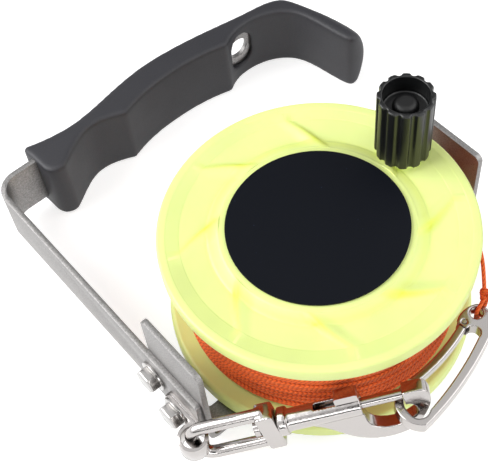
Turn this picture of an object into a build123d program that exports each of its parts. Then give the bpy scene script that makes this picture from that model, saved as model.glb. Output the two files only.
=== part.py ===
from build123d import *

from math import asin, atan2, cos, degrees, hypot, pi, radians, sin, sqrt, tan
import os

# A hand-held dive reel: a moulded spool of braided line in a stainless frame.
# The spool turns about +Z on a pin in a U-shaped bracket. A flat bar runs from the
# bracket's left cheek, at -X, round to the grip at +Y. A thumb lever under the spool
# works a ratchet, and a bolt snap with a second hook lies along the -Y side.
# All sizes are in millimetres, and z = 0 is the surface that the reel rests on.

os.makedirs("parts", exist_ok=True)

# Fits
running_gap = 0.3
shaft_clearance = 0.06
seat_clearance = 0.03
bolt_clearance = 0.2
overrun = 1.0

# Spool flanges and drum
flange_radius = 63.5
spool_height = 56.2
lip_depth = 8.6
lip_width = 5.2
lip_round = 2.0
tray_depth = 4.0
web_thickness = 3.0
drum_radius = 29.0
drum_wall = 3.0
hub_wall = 3.5
drum_rib_thickness = 2.0
drum_rib_count = 6
drum_seat_gap = 0.05
vane_count = 8
vane_inner_width = 5.5
vane_outer_width = 2.6
vane_sweep = 22.0
vane_bow_share = 0.62
vane_height_share = 0.6
vane_draft = 20.0
vane_bury = 0.8

# Hub disc and label
label_radius = 36.0
label_thickness = 0.6
disc_margin = 2.6
disc_slope_width = 3.0
disc_wall = 3.0

# Axle, bush and nut
axle_radius = 5.0
axle_thread_radius = 4.0
axle_collar_radius = 10.0
axle_collar_height = 3.2
axle_tip_above_nut = 1.4
axle_tip_chamfer = 0.6
bush_wall = 2.0
bush_flange_width = 2.5
axle_washer_radius = 9.5
axle_washer_thickness = 1.2
axle_nut_flats = 13.0
axle_nut_height = 6.5
nut_chamfer = 0.5
nut_pocket_radius = 11.5
nut_pocket_depth = 11.5

# Screws that join the two halves of the spool
spool_screw_count = 3
spool_screw_reach = 18.0
spool_screw_radius = 1.6
spool_screw_head_radius = 3.0
spool_screw_head_height = 2.2
spool_screw_length = 16.0
screw_boss_radius = 4.2
screw_sink = 0.2

# Base bracket
strap_thickness = 2.5
cheek_gap = 9.0
cheek_top = 54.5
bracket_width = 35.0
bend_radius = 2.5
cheek_corner_radius = 3.0
spool_lift = 2.8
window_length = 18.0
window_width = 12.0
window_corner = 3.0
window_bend_gap = 4.5

# Handle bar
bar_thickness = 2.5
bar_height = 26.0
bar_lift = 5.0
bar_end_y = -16.0
bar_end_round = 1.5
tang_back_y = 130.0
tang_end_x = 72.0
tang_bend_radius = 8.5

# Grip, with its outline as shares of its length and depth
grip_height = 33.5
grip_start_x = -56.5
grip_length = 158.0
grip_front_y = 114.8
grip_depth = 24.0
grip_edge_round = 1.2
grip_cusp_round = 1.5
lanyard_hole_x = 62.5
lanyard_hole_width = 14.0
lanyard_hole_height = 20.0
tang_hole_radius = 5.5
grip_groove_shares = ((0.058, 0.004), (0.105, 0.200), (0.187, 0.435), (0.255, 0.360), (0.297, 0.229))
grip_saddle_shares = ((0.297, 0.229), (0.380, 0.385), (0.491, 0.442), (0.600, 0.385), (0.684, 0.250))
grip_web_shares = (
    (0.684, 0.250), (0.725, 0.396), (0.813, 0.421), (0.883, 0.229),
    (0.918, -0.008), (0.937, -0.367), (0.948, -0.850), (0.963, -1.342),
)
grip_tip_shares = ((0.963, -1.342), (0.983, -1.412), (1.000, -1.308))
grip_back_shares = (
    (1.000, -1.308), (0.988, -0.554), (0.956, 0.175), (0.935, 0.438), (0.899, 0.588),
    (0.815, 0.696), (0.731, 0.792), (0.566, 0.963), (0.415, 0.988), (0.288, 0.858),
    (0.161, 0.742), (0.085, 0.783), (0.013, 0.900),
)
grip_end_shares = (
    (0.013, 0.900), (0.001, 0.825), (0.002, 0.717), (0.006, 0.404),
    (0.015, 0.100), (0.042, 0.000), (0.058, 0.004),
)

# Bolts through the left cheek
frame_bolt_radius = 3.0
frame_bolt_flats = 10.0
frame_bolt_head = 4.2
frame_bolt_tail = 0.6
frame_bolt_y = 13.0
frame_bolt_gap = 18.5
frame_bolt_z = 18.0
frame_washer_radius = 7.0
frame_washer_thickness = 1.2
frame_nut_thickness = 3.2

# Sheet loop that holds the eye of the snap
loop_sheet = 1.5
loop_inner_radius = 4.6
loop_width = 9.0
loop_y = -20.0
loop_tail_end = 8.0
loop_tail_round = 4.0
loop_blend = 1.5
loop_slit = 0.1

# Ratchet lugs
lug_count = 12
lug_outer_radius = 25.0
lug_depth = 8.0
lug_height = 5.3
lug_outer_gap = 4.6
lug_inner_gap = 1.6

# Thumb lever, its pawl and its click spring
lever_thickness = 2.0
lever_gap = 0.3
lever_boss_radius = 8.0
lever_arm_width = 9.0
lever_thumb_width = 12.0
lever_reach_x = 28.5
lever_reach_y = 86.0
pawl_angle = 60.0
pivot_offset_angle = 45.0
pawl_gap = 0.7
pawl_tip_width = 1.4
pawl_width = 4.0
pawl_length = 5.0
pawl_height = 3.2
pivot_radius = 3.0
pivot_foot_radius = 2.2
pivot_head_radius = 5.0
pivot_head_height = 1.8
pivot_washer_radius = 5.4
pivot_washer_thickness = 0.6
leaf_thickness = 0.6
leaf_height = 3.2
leaf_offset = 4.2
leaf_gap = 0.9
leaf_nose_width = 3.2
leaf_foot_start = 9.5
leaf_foot_length = 6.0
leaf_foot_width = 5.0
rivet_radius = 1.1
rivet_head_radius = 2.0
rivet_head_height = 0.9
pad_length = 18.0
pad_width = 17.0
pad_height = 10.5
pad_floor = 1.3
pad_round = 1.6
pad_corner = 3.2
pad_overlap = 10.0
pad_rib_count = 4
pad_rib_width = 1.4
pad_rib_height = 0.8
pad_rib_pitch = 3.2

# Winding knob
knob_inset = 13.5
knob_angle = 4.6
knob_radius = 11.3
knob_height = 32.0
knob_cup_radius = 9.2
knob_cup_depth = 8.2
knob_flute_count = 12
knob_flute_radius = 1.3
knob_flute_depth = 1.1
knob_hollow_radius = 8.4
knob_hollow_depth = 17.5
knob_core_wall = 2.2
knob_edge_round = 0.5
knob_boss_radius = 8.5
knob_boss_height = 4.5
knob_lift = 0.5
knob_washer_radius = 6.5
knob_washer_thickness = 0.8
shoulder_radius = 3.5
knob_thread_radius = 2.5
knob_bolt_head_radius = 5.2
knob_bolt_head_height = 3.4
knob_bolt_dome = 2.7
knob_nut_flats = 8.0
knob_nut_height = 2.7

# Braided line
line_diameter = 1.65
line_pitch = 2.1
line_turns = 18
winding_margin = 7.0
winding_start_angle = -10.0
core_gap = 0.05
core_end_gap = 0.1

# Bolt snap, placed along its axis from the bar that hangs in the sheet loop
snap_rise = 14.7
snap_side_gap = 0.54
ring_lean = 8.0
hook_lean = 15.0
ring_length = 31.0
ring_height = 18.2
ring_drop = 1.0
ring_wire_radius = 2.6
ring_corner_radius = 6.5
block_length = 7.0
block_thickness = 8.0
block_round = 1.2
block_margin = 3.1
swivel_radius = 2.1
swivel_head_radius = 3.6
swivel_head_height = 2.2
swivel_grip_length = 5.0
barrel_radius = 4.4
barrel_length = 32.2
collar_radius = 5.6
collar_length = 3.4
bore_radius = 2.15
bore_length = 25.5
bolt_rod_radius = 2.05
bolt_travel = 11.0
bolt_tail_length = 13.5
throat_width = 15.8
nub_length = 9.0
nub_width = 5.0
nub_height = 3.2
nub_round = 1.0
stem_length = 3.6
stem_width = 2.2
slot_clearance = 0.4
hook_thickness = 6.0
hook_reach = 25.5
hook_depth = 19.2
hook_belly_shares = (
    (-0.765, -0.208), (-0.560, -0.400), (-0.294, -0.755), (0.176, -1.000), (0.647, -0.859),
    (0.900, -0.470), (1.000, -0.052), (0.960, 0.100), (0.860, 0.167),
)
hook_throat_shares = (
    (0.620, -0.167), (0.745, -0.260), (0.765, -0.417), (0.600, -0.640),
    (0.333, -0.719), (0.090, -0.610), (0.000, -0.365),
)

# Second hook, on the end of the line, with its outlines as shares of length and width
bow_along = 13.35
bow_drop = 6.92
bow_inset = 1.7
line_hook_side_gap = 5.432
line_hook_length = 50.0
line_hook_width = 16.0
line_hook_height = 6.2
line_eye_radius = 2.6
line_eye_shares = (0.965, -0.045)
gate_width = 3.2
gate_height = 4.7
gate_gap = 0.3
gate_pin_radius = 0.9
line_hook_outer_shares = (
    (0.160, 0.190), (0.050, 0.200), (-0.060, 0.040), (-0.112, -0.400), (-0.050, -0.850),
    (0.430, -0.870), (0.900, -0.640), (1.040, -0.320), (1.040, 0.080), (0.930, 0.240), (0.800, 0.190),
)
line_hook_inner_shares = (
    (0.800, -0.130), (0.864, -0.300), (0.800, -0.460), (0.440, -0.640), (0.070, -0.680),
    (-0.035, -0.620), (-0.048, -0.360), (0.000, -0.090), (0.090, 0.012), (0.125, 0.006), (0.160, -0.010),
)
gate_pin_shares = (0.840, 0.040)
gate_mid_shares = (0.500, -0.040)
gate_tip_shares = (0.172, 0.085)
gate_seat_length = 4.4

# Free end of the line: its loop and knot on the hook's eye, and its lead to the winding,
# which starts above the eye and then goes round outside the winding
knot_loop_radius = 5.1
knot_radius = 2.1
knot_length = 4.6
lead_rises = ((7.3, 3.5, 8.5), (8.6, 5.5, 12.6))
lead_margins = (7.67, 5.70, 4.01, 2.68, 2.00)
lead_heights = (47.9, 49.6, 49.9, 49.6, 49.4)
lead_angles = (-49.2, -41.5, -31.5, -20.6, -10.0)
bend_share = 0.45


def polar(radius, angle, height=0.0):
    """The point at this radius and angle, in degrees, about the spool's axis."""
    return (radius * cos(radians(angle)), radius * sin(radians(angle)), height)


def hexagon_radius(flats):
    """The corner radius of a hexagon with this size across its flats."""
    return flats / (2 * cos(pi / 6))


def arc_chain(points):
    """Arcs through each point, its next one and the one after, end to end."""
    for start, middle, end in zip(points[0:-2:2], points[1:-1:2], points[2::2]):
        ThreePointArc(start, middle, end)


def spread(shares, length, width, start=(0.0, 0.0)):
    """Points from shares of a length and a width."""
    return [(start[0] + x * length, start[1] + y * width) for x, y in shares]


def slot_between(start, end, width):
    """A slot-shaped face from one point to another."""
    run = (end[0] - start[0], end[1] - start[1])
    with Locations(((start[0] + end[0]) / 2, (start[1] + end[1]) / 2)):
        SlotCenterToCenter(hypot(*run), width, rotation=degrees(atan2(run[1], run[0])))


# Heights that follow from the sizes above
spool_bottom = strap_thickness + spool_lift
spool_top = spool_bottom + spool_height
lower_face = spool_bottom + lip_depth
lower_web = lower_face - web_thickness
tray_floor = spool_top - tray_depth
upper_face = tray_floor - web_thickness
boss_top = tray_floor + knob_boss_height
pocket_floor = spool_top - nut_pocket_depth
collar_top = strap_thickness + axle_collar_height
bush_foot = collar_top + running_gap
bush_shoulder = lower_web - bush_foot
axle_shoulder = pocket_floor + 2 * running_gap
nut_seat = axle_shoulder + axle_washer_thickness

# Radii that follow from them
cheek_inside = flange_radius + cheek_gap
winding_radius = flange_radius - winding_margin
knob_reach = flange_radius - knob_inset
lip_inside = flange_radius - lip_width
disc_radius = label_radius + disc_margin
disc_foot_radius = disc_radius + disc_slope_width
bush_radius = axle_radius + shaft_clearance + bush_wall
hub_bore = bush_radius + seat_clearance
hub_radius = hub_bore + hub_wall
vane_height = vane_height_share * tray_depth
cheek_outside = cheek_inside + strap_thickness
bar_outside = cheek_outside + bar_thickness
knob_x, knob_y, _ = polar(knob_reach, knob_angle)

# The lever's pivot stands where the pawl and the click nose both move straight in
lug_inner_radius = lug_outer_radius - lug_depth
lever_arm = lug_outer_radius + pawl_gap
pivot_reach = lever_arm * sqrt(2)
pivot_angle = pawl_angle - pivot_offset_angle
leaf_heading = pivot_angle + pivot_offset_angle - 180
pivot_x, pivot_y, _ = polar(pivot_reach, pivot_angle)
lever_bottom = strap_thickness + lever_gap
lever_top = lever_bottom + lever_thickness
pivot_washer_bottom = lever_top + lever_gap
pivot_head_bottom = pivot_washer_bottom + pivot_washer_thickness

# U-shaped strap with a window beside each bend
with BuildPart() as base_bracket:
    with BuildSketch(Plane.XZ) as bracket_profile:
        with Locations((0, cheek_top / 2)):
            Rectangle(2 * cheek_outside, cheek_top)
        fillet(bracket_profile.vertices().group_by(Axis.Y)[0], bend_radius + strap_thickness)
        with Locations((0, strap_thickness + cheek_top)):
            RectangleRounded(2 * cheek_inside, 2 * cheek_top, bend_radius, mode=Mode.SUBTRACT)
    extrude(amount=bracket_width / 2, both=True)
    fillet(base_bracket.edges().filter_by(Axis.X).group_by(Axis.Z)[-1], cheek_corner_radius)
    window_x = cheek_inside - window_bend_gap - window_length / 2
    with BuildSketch(Plane.XY):
        with Locations((-window_x, 0), (window_x, 0)):
            RectangleRounded(window_length, window_width, window_corner)
        Circle(axle_thread_radius + seat_clearance)
        with Locations((pivot_x, pivot_y)):
            Circle(pivot_foot_radius + seat_clearance)
    extrude(amount=strap_thickness, mode=Mode.SUBTRACT)
    with BuildSketch(Plane.YZ.offset(-cheek_outside)):
        with Locations(*[(frame_bolt_y - i * frame_bolt_gap, frame_bolt_z) for i in range(2)]):
            Circle(frame_bolt_radius + bolt_clearance)
    extrude(amount=strap_thickness, mode=Mode.SUBTRACT)
base_bracket.part.label = "base_bracket"
export_step(base_bracket.part, "parts/base_bracket.step")

# Flat bar from the cheek round the corner into the grip
with BuildPart() as handle_bar:
    with BuildSketch(Plane.XY.offset(bar_lift)) as bar_plan:
        bar_run = tang_end_x + bar_outside
        bar_rise = tang_back_y - bar_end_y
        with Locations((-bar_outside, bar_end_y)):
            Rectangle(bar_run, bar_rise, align=(Align.MIN, Align.MIN))
        bend = bar_plan.vertices().sort_by_distance((-bar_outside, tang_back_y))[0]
        fillet(bend, tang_bend_radius + bar_thickness)
        with Locations((-cheek_outside, tang_back_y - bar_thickness)):
            RectangleRounded(
                2 * bar_run, 2 * bar_rise, tang_bend_radius,
                align=(Align.MIN, Align.MAX), mode=Mode.SUBTRACT,
            )
    extrude(amount=bar_height)
    fillet(handle_bar.edges().filter_by(Axis.X).group_by(Axis.Y)[0], bar_end_round)
    fillet(handle_bar.edges().filter_by(Axis.Y).group_by(Axis.X)[-1], bar_end_round)
    with BuildSketch(Plane.YZ.offset(-bar_outside)):
        with Locations(*[(frame_bolt_y - i * frame_bolt_gap, frame_bolt_z) for i in range(2)]):
            Circle(frame_bolt_radius + bolt_clearance)
    extrude(amount=bar_thickness, mode=Mode.SUBTRACT)
    with BuildSketch(Plane.XZ.offset(-tang_back_y)):
        with Locations((lanyard_hole_x, bar_lift + bar_height / 2)):
            Circle(tang_hole_radius)
    extrude(amount=bar_thickness, mode=Mode.SUBTRACT)
handle_bar.part.label = "handle_bar"
export_step(handle_bar.part, "parts/handle_bar.step")

# Moulded grip round the tang, with two finger grooves and a hooked end
with BuildPart() as grip:
    with BuildSketch(Plane.XY):
        with BuildLine():
            for shares in (
                grip_groove_shares, grip_saddle_shares, grip_web_shares,
                grip_tip_shares, grip_back_shares, grip_end_shares,
            ):
                Spline(*spread(shares, grip_length, grip_depth, (grip_start_x, grip_front_y)))
        make_face()
    extrude(amount=grip_height)
    fillet(grip.edges().filter_by(Axis.Z), grip_cusp_round)
    rims = grip.edges().group_by(Axis.Z)
    fillet(rims[0] + rims[-1], grip_edge_round)
    with BuildSketch(Plane.XY.offset(bar_lift - seat_clearance)):
        tang_front_y = tang_back_y - bar_thickness - seat_clearance
        with Locations((grip_start_x - overrun, tang_front_y)):
            Rectangle(
                tang_end_x + seat_clearance - grip_start_x + overrun,
                bar_thickness + 2 * seat_clearance,
                align=(Align.MIN, Align.MIN),
            )
    extrude(amount=bar_height + 2 * seat_clearance, mode=Mode.SUBTRACT)
    with BuildSketch(Plane.XZ.offset(-grip_front_y)):
        with Locations((lanyard_hole_x, bar_lift + bar_height / 2)):
            SlotOverall(lanyard_hole_height, lanyard_hole_width, rotation=90)
    extrude(amount=-grip_depth, mode=Mode.SUBTRACT)
grip.part.label = "grip"
export_step(grip.part, "parts/grip.step")

# Hexagon bolts, washers and nuts of the left cheek. The second bolt also holds the loop.
loop_stack = 2 * loop_sheet
washer_faces = (bar_outside, bar_outside + loop_stack)
with BuildPart() as frame_bolts:
    for i, face in enumerate(washer_faces):
        bolt_y = frame_bolt_y - i * frame_bolt_gap
        head_face = face + frame_washer_thickness
        with BuildSketch(Plane.YZ.offset(-head_face)):
            with Locations((bolt_y, frame_bolt_z)):
                RegularPolygon(hexagon_radius(frame_bolt_flats), 6)
        extrude(amount=-frame_bolt_head)
        with BuildSketch(Plane.YZ.offset(-head_face)):
            with Locations((bolt_y, frame_bolt_z)):
                Circle(frame_bolt_radius)
        extrude(amount=head_face - cheek_inside + frame_nut_thickness + frame_bolt_tail)
    for i in range(2):
        head = frame_bolts.solids().sort_by(Axis.Y)[i]
        chamfer(head.faces().sort_by(Axis.X)[0].edges(), nut_chamfer)
frame_bolts.part.label = "frame_bolts"
export_step(frame_bolts.part, "parts/frame_bolts.step")

with BuildPart() as frame_washers:
    for i, face in enumerate(washer_faces):
        with BuildSketch(Plane.YZ.offset(-face)):
            with Locations((frame_bolt_y - i * frame_bolt_gap, frame_bolt_z)):
                Circle(frame_washer_radius)
                Circle(frame_bolt_radius + bolt_clearance, mode=Mode.SUBTRACT)
        extrude(amount=-frame_washer_thickness)
frame_washers.part.label = "frame_washers"
export_step(frame_washers.part, "parts/frame_washers.step")

with BuildPart() as frame_nuts:
    with BuildSketch(Plane.YZ.offset(-cheek_inside)):
        with Locations(*[(frame_bolt_y - i * frame_bolt_gap, frame_bolt_z) for i in range(2)]):
            RegularPolygon(hexagon_radius(frame_bolt_flats), 6)
            Circle(frame_bolt_radius + seat_clearance, mode=Mode.SUBTRACT)
    extrude(amount=frame_nut_thickness)
frame_nuts.part.label = "frame_nuts"
export_step(frame_nuts.part, "parts/frame_nuts.step")

# One strip of sheet, folded round so that both its ends lie under the second bolt
loop_x = -(bar_outside + loop_sheet + loop_inner_radius)
loop_outer_radius = loop_inner_radius + loop_sheet
with BuildPart() as strap_loop:
    with BuildSketch(Plane.XY.offset(frame_bolt_z - loop_width / 2)) as loop_plan:
        tail_top = frame_bolt_y - frame_bolt_gap + loop_tail_end
        with Locations((-bar_outside, loop_y)):
            Rectangle(loop_stack, tail_top - loop_y, align=(Align.MAX, Align.MIN))
        with Locations((loop_x, loop_y)):
            Circle(loop_outer_radius)
        notch = (-bar_outside - loop_stack, loop_y + loop_outer_radius)
        fillet(loop_plan.vertices().sort_by_distance(notch)[0], loop_blend)
        with Locations((loop_x, loop_y)):
            Circle(loop_inner_radius, mode=Mode.SUBTRACT)
        with Locations((-bar_outside - loop_sheet, loop_y)):
            Rectangle(
                loop_slit, tail_top - loop_y + overrun,
                align=(Align.CENTER, Align.MIN), mode=Mode.SUBTRACT,
            )
    extrude(amount=loop_width)
    fillet(strap_loop.edges().filter_by(Axis.X).group_by(Axis.Y)[-1], loop_tail_round)
    with BuildSketch(Plane.YZ.offset(-bar_outside)):
        with Locations((frame_bolt_y - frame_bolt_gap, frame_bolt_z)):
            Circle(frame_bolt_radius + bolt_clearance)
    extrude(amount=-loop_stack, mode=Mode.SUBTRACT)
strap_loop.part.label = "strap_loop"
export_step(strap_loop.part, "parts/strap_loop.step")

# Axle riveted into the strap: foot, collar, shaft and a threaded end
with BuildPart() as axle_pin:
    with BuildSketch(Plane.XZ):
        axle_top = nut_seat + axle_nut_height + axle_tip_above_nut
        with BuildLine():
            Polyline(
                (0, 0), (axle_thread_radius, 0), (axle_thread_radius, strap_thickness),
                (axle_collar_radius, strap_thickness), (axle_collar_radius, collar_top),
                (axle_radius, collar_top), (axle_radius, axle_shoulder),
                (axle_thread_radius, axle_shoulder), (axle_thread_radius, axle_top - axle_tip_chamfer),
                (axle_thread_radius - axle_tip_chamfer, axle_top), (0, axle_top), close=True,
            )
        make_face()
    revolve(axis=Axis.Z)
axle_pin.part.label = "axle_pin"
export_step(axle_pin.part, "parts/axle_pin.step")

with BuildPart() as axle_washer:
    with BuildSketch(Plane.XY.offset(axle_shoulder)):
        Circle(axle_washer_radius)
        Circle(axle_thread_radius + seat_clearance, mode=Mode.SUBTRACT)
    extrude(amount=axle_washer_thickness)
axle_washer.part.label = "axle_washer"
export_step(axle_washer.part, "parts/axle_washer.step")

with BuildPart() as axle_nut:
    with BuildSketch(Plane.XY.offset(nut_seat)):
        RegularPolygon(hexagon_radius(axle_nut_flats), 6)
        Circle(axle_thread_radius + seat_clearance, mode=Mode.SUBTRACT)
    extrude(amount=axle_nut_height)
    chamfer(axle_nut.faces().sort_by(Axis.Z)[-1].outer_wire().edges(), nut_chamfer)
axle_nut.part.label = "axle_nut"
export_step(axle_nut.part, "parts/axle_nut.step")

# Flanged plain bush pressed into the hub
with BuildPart() as hub_bush:
    with BuildSketch(Plane.XY.offset(bush_foot)):
        Circle(bush_radius + bush_flange_width)
    extrude(amount=bush_shoulder)
    with BuildSketch(Plane.XY.offset(lower_web)):
        Circle(bush_radius)
    extrude(amount=pocket_floor - lower_web)
    with BuildSketch(Plane.XY.offset(bush_foot)):
        Circle(axle_radius + shaft_clearance)
    extrude(amount=pocket_floor - bush_foot, mode=Mode.SUBTRACT)
hub_bush.part.label = "hub_bush"
export_step(hub_bush.part, "parts/hub_bush.step")


# One curved vane in plan, wide at the hub and narrow at the lip
vane_stations = (
    (disc_radius, 0.0, vane_inner_width),
    ((disc_radius + lip_inside) / 2, vane_bow_share * vane_sweep, (vane_inner_width + vane_outer_width) / 2),
    (lip_inside + vane_bury, vane_sweep, vane_outer_width),
)
right_side, left_side = [
    [polar(radius, angle + side * degrees(width / 2 / radius))[:2] for radius, angle, width in vane_stations]
    for side in (-1, 1)
]
with BuildSketch() as vane:
    with BuildLine():
        ThreePointArc(*right_side)
        Line(right_side[2], left_side[2])
        ThreePointArc(*reversed(left_side))
        Line(left_side[0], right_side[0])
    make_face()


def screw_places():
    """The places of the spool screws, on alternate ribs."""
    return PolarLocations(spool_screw_reach, spool_screw_count)


# Lower half of the spool: flange, drum, hub, ribs and screw bosses
with BuildPart() as lower_flange:
    with BuildSketch(Plane.XZ) as lower_profile:
        drum_top = upper_face - drum_seat_gap
        drum_inside = drum_radius - drum_wall
        with BuildLine():
            Polyline(
                (hub_bore, lower_web), (lip_inside, lower_web), (lip_inside, spool_bottom),
                (flange_radius, spool_bottom),
                (flange_radius, lower_face), (drum_radius, lower_face), (drum_radius, drum_top),
                (drum_inside, drum_top), (drum_inside, lower_face), (hub_radius, lower_face),
                (hub_radius, pocket_floor), (hub_bore, pocket_floor), close=True,
            )
        make_face()
        fillet(lower_profile.vertices().group_by(Axis.X)[-1], lip_round)
    revolve(axis=Axis.Z)
    with BuildSketch(Plane.XY.offset(lower_web)):
        with PolarLocations(0, vane_count):
            add(vane.sketch)
    extrude(amount=-vane_height, taper=vane_draft)
    with BuildSketch(Plane.XY.offset(lower_face)):
        with PolarLocations((hub_radius + drum_inside) / 2, drum_rib_count):
            Rectangle(drum_inside - hub_radius + drum_wall, drum_rib_thickness)
        with screw_places():
            Circle(screw_boss_radius)
        Circle(hub_bore, mode=Mode.SUBTRACT)
    extrude(amount=pocket_floor - lower_face)
    with BuildSketch(Plane.XY.offset(pocket_floor)):
        with screw_places():
            Circle(spool_screw_radius + seat_clearance)
    extrude(amount=-spool_screw_length, mode=Mode.SUBTRACT)
lower_flange.part.label = "lower_flange"
export_step(lower_flange.part, "parts/lower_flange.step")

# Upper half of the spool: tray, vanes, hub disc, nut pocket and knob boss
with BuildPart() as upper_flange:
    with BuildSketch(Plane.XZ) as upper_profile:
        lip_bottom = spool_top - lip_depth
        pocket_wall_radius = nut_pocket_radius + hub_wall
        disc_underside = spool_top - disc_wall
        with BuildLine():
            Polyline(
                (nut_pocket_radius, pocket_floor), (pocket_wall_radius, pocket_floor),
                (pocket_wall_radius, disc_underside), (drum_inside, disc_underside),
                (drum_inside, upper_face), (lip_inside, upper_face), (lip_inside, lip_bottom),
                (flange_radius, lip_bottom), (flange_radius, spool_top), (lip_inside, spool_top),
                (lip_inside, tray_floor), (disc_foot_radius, tray_floor), (disc_radius, spool_top),
                (nut_pocket_radius, spool_top), close=True,
            )
        make_face()
        fillet(upper_profile.vertices().group_by(Axis.X)[-1], lip_round)
    revolve(axis=Axis.Z)
    with BuildSketch(Plane.XY.offset(pocket_floor)):
        with screw_places():
            Circle(screw_boss_radius)
        Circle(nut_pocket_radius, mode=Mode.SUBTRACT)
    extrude(amount=nut_pocket_depth)
    with BuildSketch(Plane.XY.offset(tray_floor)):
        with PolarLocations(0, vane_count):
            add(vane.sketch)
    extrude(amount=vane_height, taper=vane_draft)
    with BuildSketch(Plane.XY.offset(tray_floor)):
        with Locations((knob_x, knob_y)):
            Circle(knob_boss_radius)
    extrude(amount=knob_boss_height)
    with BuildSketch(Plane.XY.offset(boss_top)):
        with Locations((knob_x, knob_y)):
            Circle(knob_thread_radius + seat_clearance)
    extrude(amount=-(knob_boss_height + web_thickness), mode=Mode.SUBTRACT)
    with BuildSketch(Plane.XY.offset(upper_face)):
        with Locations((knob_x, knob_y)):
            RegularPolygon(hexagon_radius(knob_nut_flats) + seat_clearance, 6)
    extrude(amount=knob_nut_height + 2 * seat_clearance, mode=Mode.SUBTRACT)
    with BuildSketch(Plane.XY.offset(pocket_floor)):
        with screw_places():
            Circle(spool_screw_radius + seat_clearance)
    extrude(amount=nut_pocket_depth, mode=Mode.SUBTRACT)
    screw_head_depth = spool_screw_head_height + screw_sink
    with BuildSketch(Plane.XY.offset(spool_top)):
        with screw_places():
            Circle(spool_screw_head_radius + bolt_clearance)
    extrude(amount=-screw_head_depth, mode=Mode.SUBTRACT)
upper_flange.part.label = "upper_flange"
export_step(upper_flange.part, "parts/upper_flange.step")

with BuildPart() as spool_screws:
    with BuildSketch(Plane.XY.offset(spool_top - screw_head_depth)):
        with screw_places():
            Circle(spool_screw_head_radius)
    extrude(amount=spool_screw_head_height)
    with BuildSketch(Plane.XY.offset(spool_top - screw_head_depth)):
        with screw_places():
            Circle(spool_screw_radius)
    extrude(amount=-spool_screw_length)
spool_screws.part.label = "spool_screws"
export_step(spool_screws.part, "parts/spool_screws.step")

with BuildPart() as label_disc:
    with BuildSketch(Plane.XY.offset(spool_top)):
        Circle(label_radius)
    extrude(amount=label_thickness)
label_disc.part.label = "label_disc"
export_step(label_disc.part, "parts/label_disc.step")

# Hard lugs under the lower flange, which leave a gap for the pawl at each pitch
with BuildPart() as ratchet_lugs:
    lug_pitch = 360.0 / lug_count
    outer_half = lug_pitch / 2 - degrees(lug_outer_gap / 2 / lug_outer_radius)
    inner_half = lug_pitch / 2 - degrees(lug_inner_gap / 2 / lug_inner_radius)
    with BuildSketch(Plane.XY.offset(lower_web - lug_height)):
        with PolarLocations(0, lug_count, start_angle=lug_pitch / 2):
            Polygon(
                polar(lug_inner_radius, -inner_half)[:2], polar(lug_outer_radius, -outer_half)[:2],
                (lug_outer_radius, 0), polar(lug_outer_radius, outer_half)[:2],
                polar(lug_inner_radius, inner_half)[:2],
                align=None,
            )
    extrude(amount=lug_height)
ratchet_lugs.part.label = "ratchet_lugs"
export_step(ratchet_lugs.part, "parts/ratchet_lugs.step")

# Thumb lever: a flat plate with a thumb arm, and a pawl tab folded up at its nose
pivot = (pivot_x, pivot_y)
pawl_tip = polar(lever_arm, pawl_angle)[:2]
pawl_plane = Plane(
    origin=(*pawl_tip, lever_bottom),
    x_dir=polar(1, pawl_angle), z_dir=(0, 0, 1),
)
with BuildPart() as stop_lever:
    with BuildSketch(Plane.XY.offset(lever_bottom)):
        pawl_root = polar(lever_arm + pawl_length - lever_arm_width / 2 + pawl_gap, pawl_angle)[:2]
        slot_between(pivot, pawl_root, lever_arm_width)
        slot_between(pivot, (lever_reach_x, lever_reach_y), lever_thumb_width)
        with Locations(pivot):
            Circle(lever_boss_radius)
            Circle(pivot_radius + shaft_clearance, mode=Mode.SUBTRACT)
    extrude(amount=lever_thickness)
    with BuildSketch(pawl_plane):
        Polygon(
            (0, -pawl_tip_width / 2), (pawl_length, -pawl_width / 2),
            (pawl_length, pawl_width / 2), (0, pawl_tip_width / 2), align=None,
        )
    extrude(amount=lever_thickness + pawl_height)
    with BuildSketch(Plane.XY.offset(lever_bottom)):
        rivet_place = (
            pivot_x + (leaf_foot_start + leaf_foot_length / 2) * cos(radians(leaf_heading)),
            pivot_y + (leaf_foot_start + leaf_foot_length / 2) * sin(radians(leaf_heading)),
        )
        slot_between(pivot, rivet_place, lever_arm_width)
        with Locations(pivot):
            Circle(pivot_radius + shaft_clearance, mode=Mode.SUBTRACT)
        with Locations(rivet_place):
            Circle(rivet_radius + seat_clearance, mode=Mode.SUBTRACT)
    extrude(amount=lever_thickness)
stop_lever.part.label = "stop_lever"
export_step(stop_lever.part, "parts/stop_lever.step")

# Click spring: a folded leaf on the lever, with a nose that drops between the teeth
leaf_run = polar(1, leaf_heading)
leaf_plane = Plane(origin=(*pivot, lever_top), x_dir=leaf_run, z_dir=(0, 0, 1))
with BuildPart() as click_spring:
    with BuildSketch(leaf_plane):
        with Locations((leaf_foot_start + leaf_foot_length / 2, 0)):
            Rectangle(leaf_foot_length, leaf_foot_width)
            Circle(rivet_radius + seat_clearance, mode=Mode.SUBTRACT)
    extrude(amount=leaf_thickness)
    with BuildSketch(leaf_plane):
        nose_x = lever_arm
        nose_low = leaf_gap - pawl_gap
        leaf_side = leaf_offset
        with BuildLine():
            Polyline(
                (leaf_foot_start, leaf_side), (nose_x - leaf_nose_width / 2, leaf_side),
                (nose_x, nose_low + leaf_thickness), (nose_x + leaf_nose_width / 2, leaf_side),
            )
        trace(line_width=leaf_thickness)
        with Locations((leaf_foot_start, leaf_foot_width / 2)):
            Rectangle(
                leaf_foot_length, leaf_side - leaf_foot_width / 2 + leaf_thickness / 2,
                align=(Align.MIN, Align.MIN),
            )
    extrude(amount=leaf_height)
click_spring.part.label = "click_spring"
export_step(click_spring.part, "parts/click_spring.step")

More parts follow.
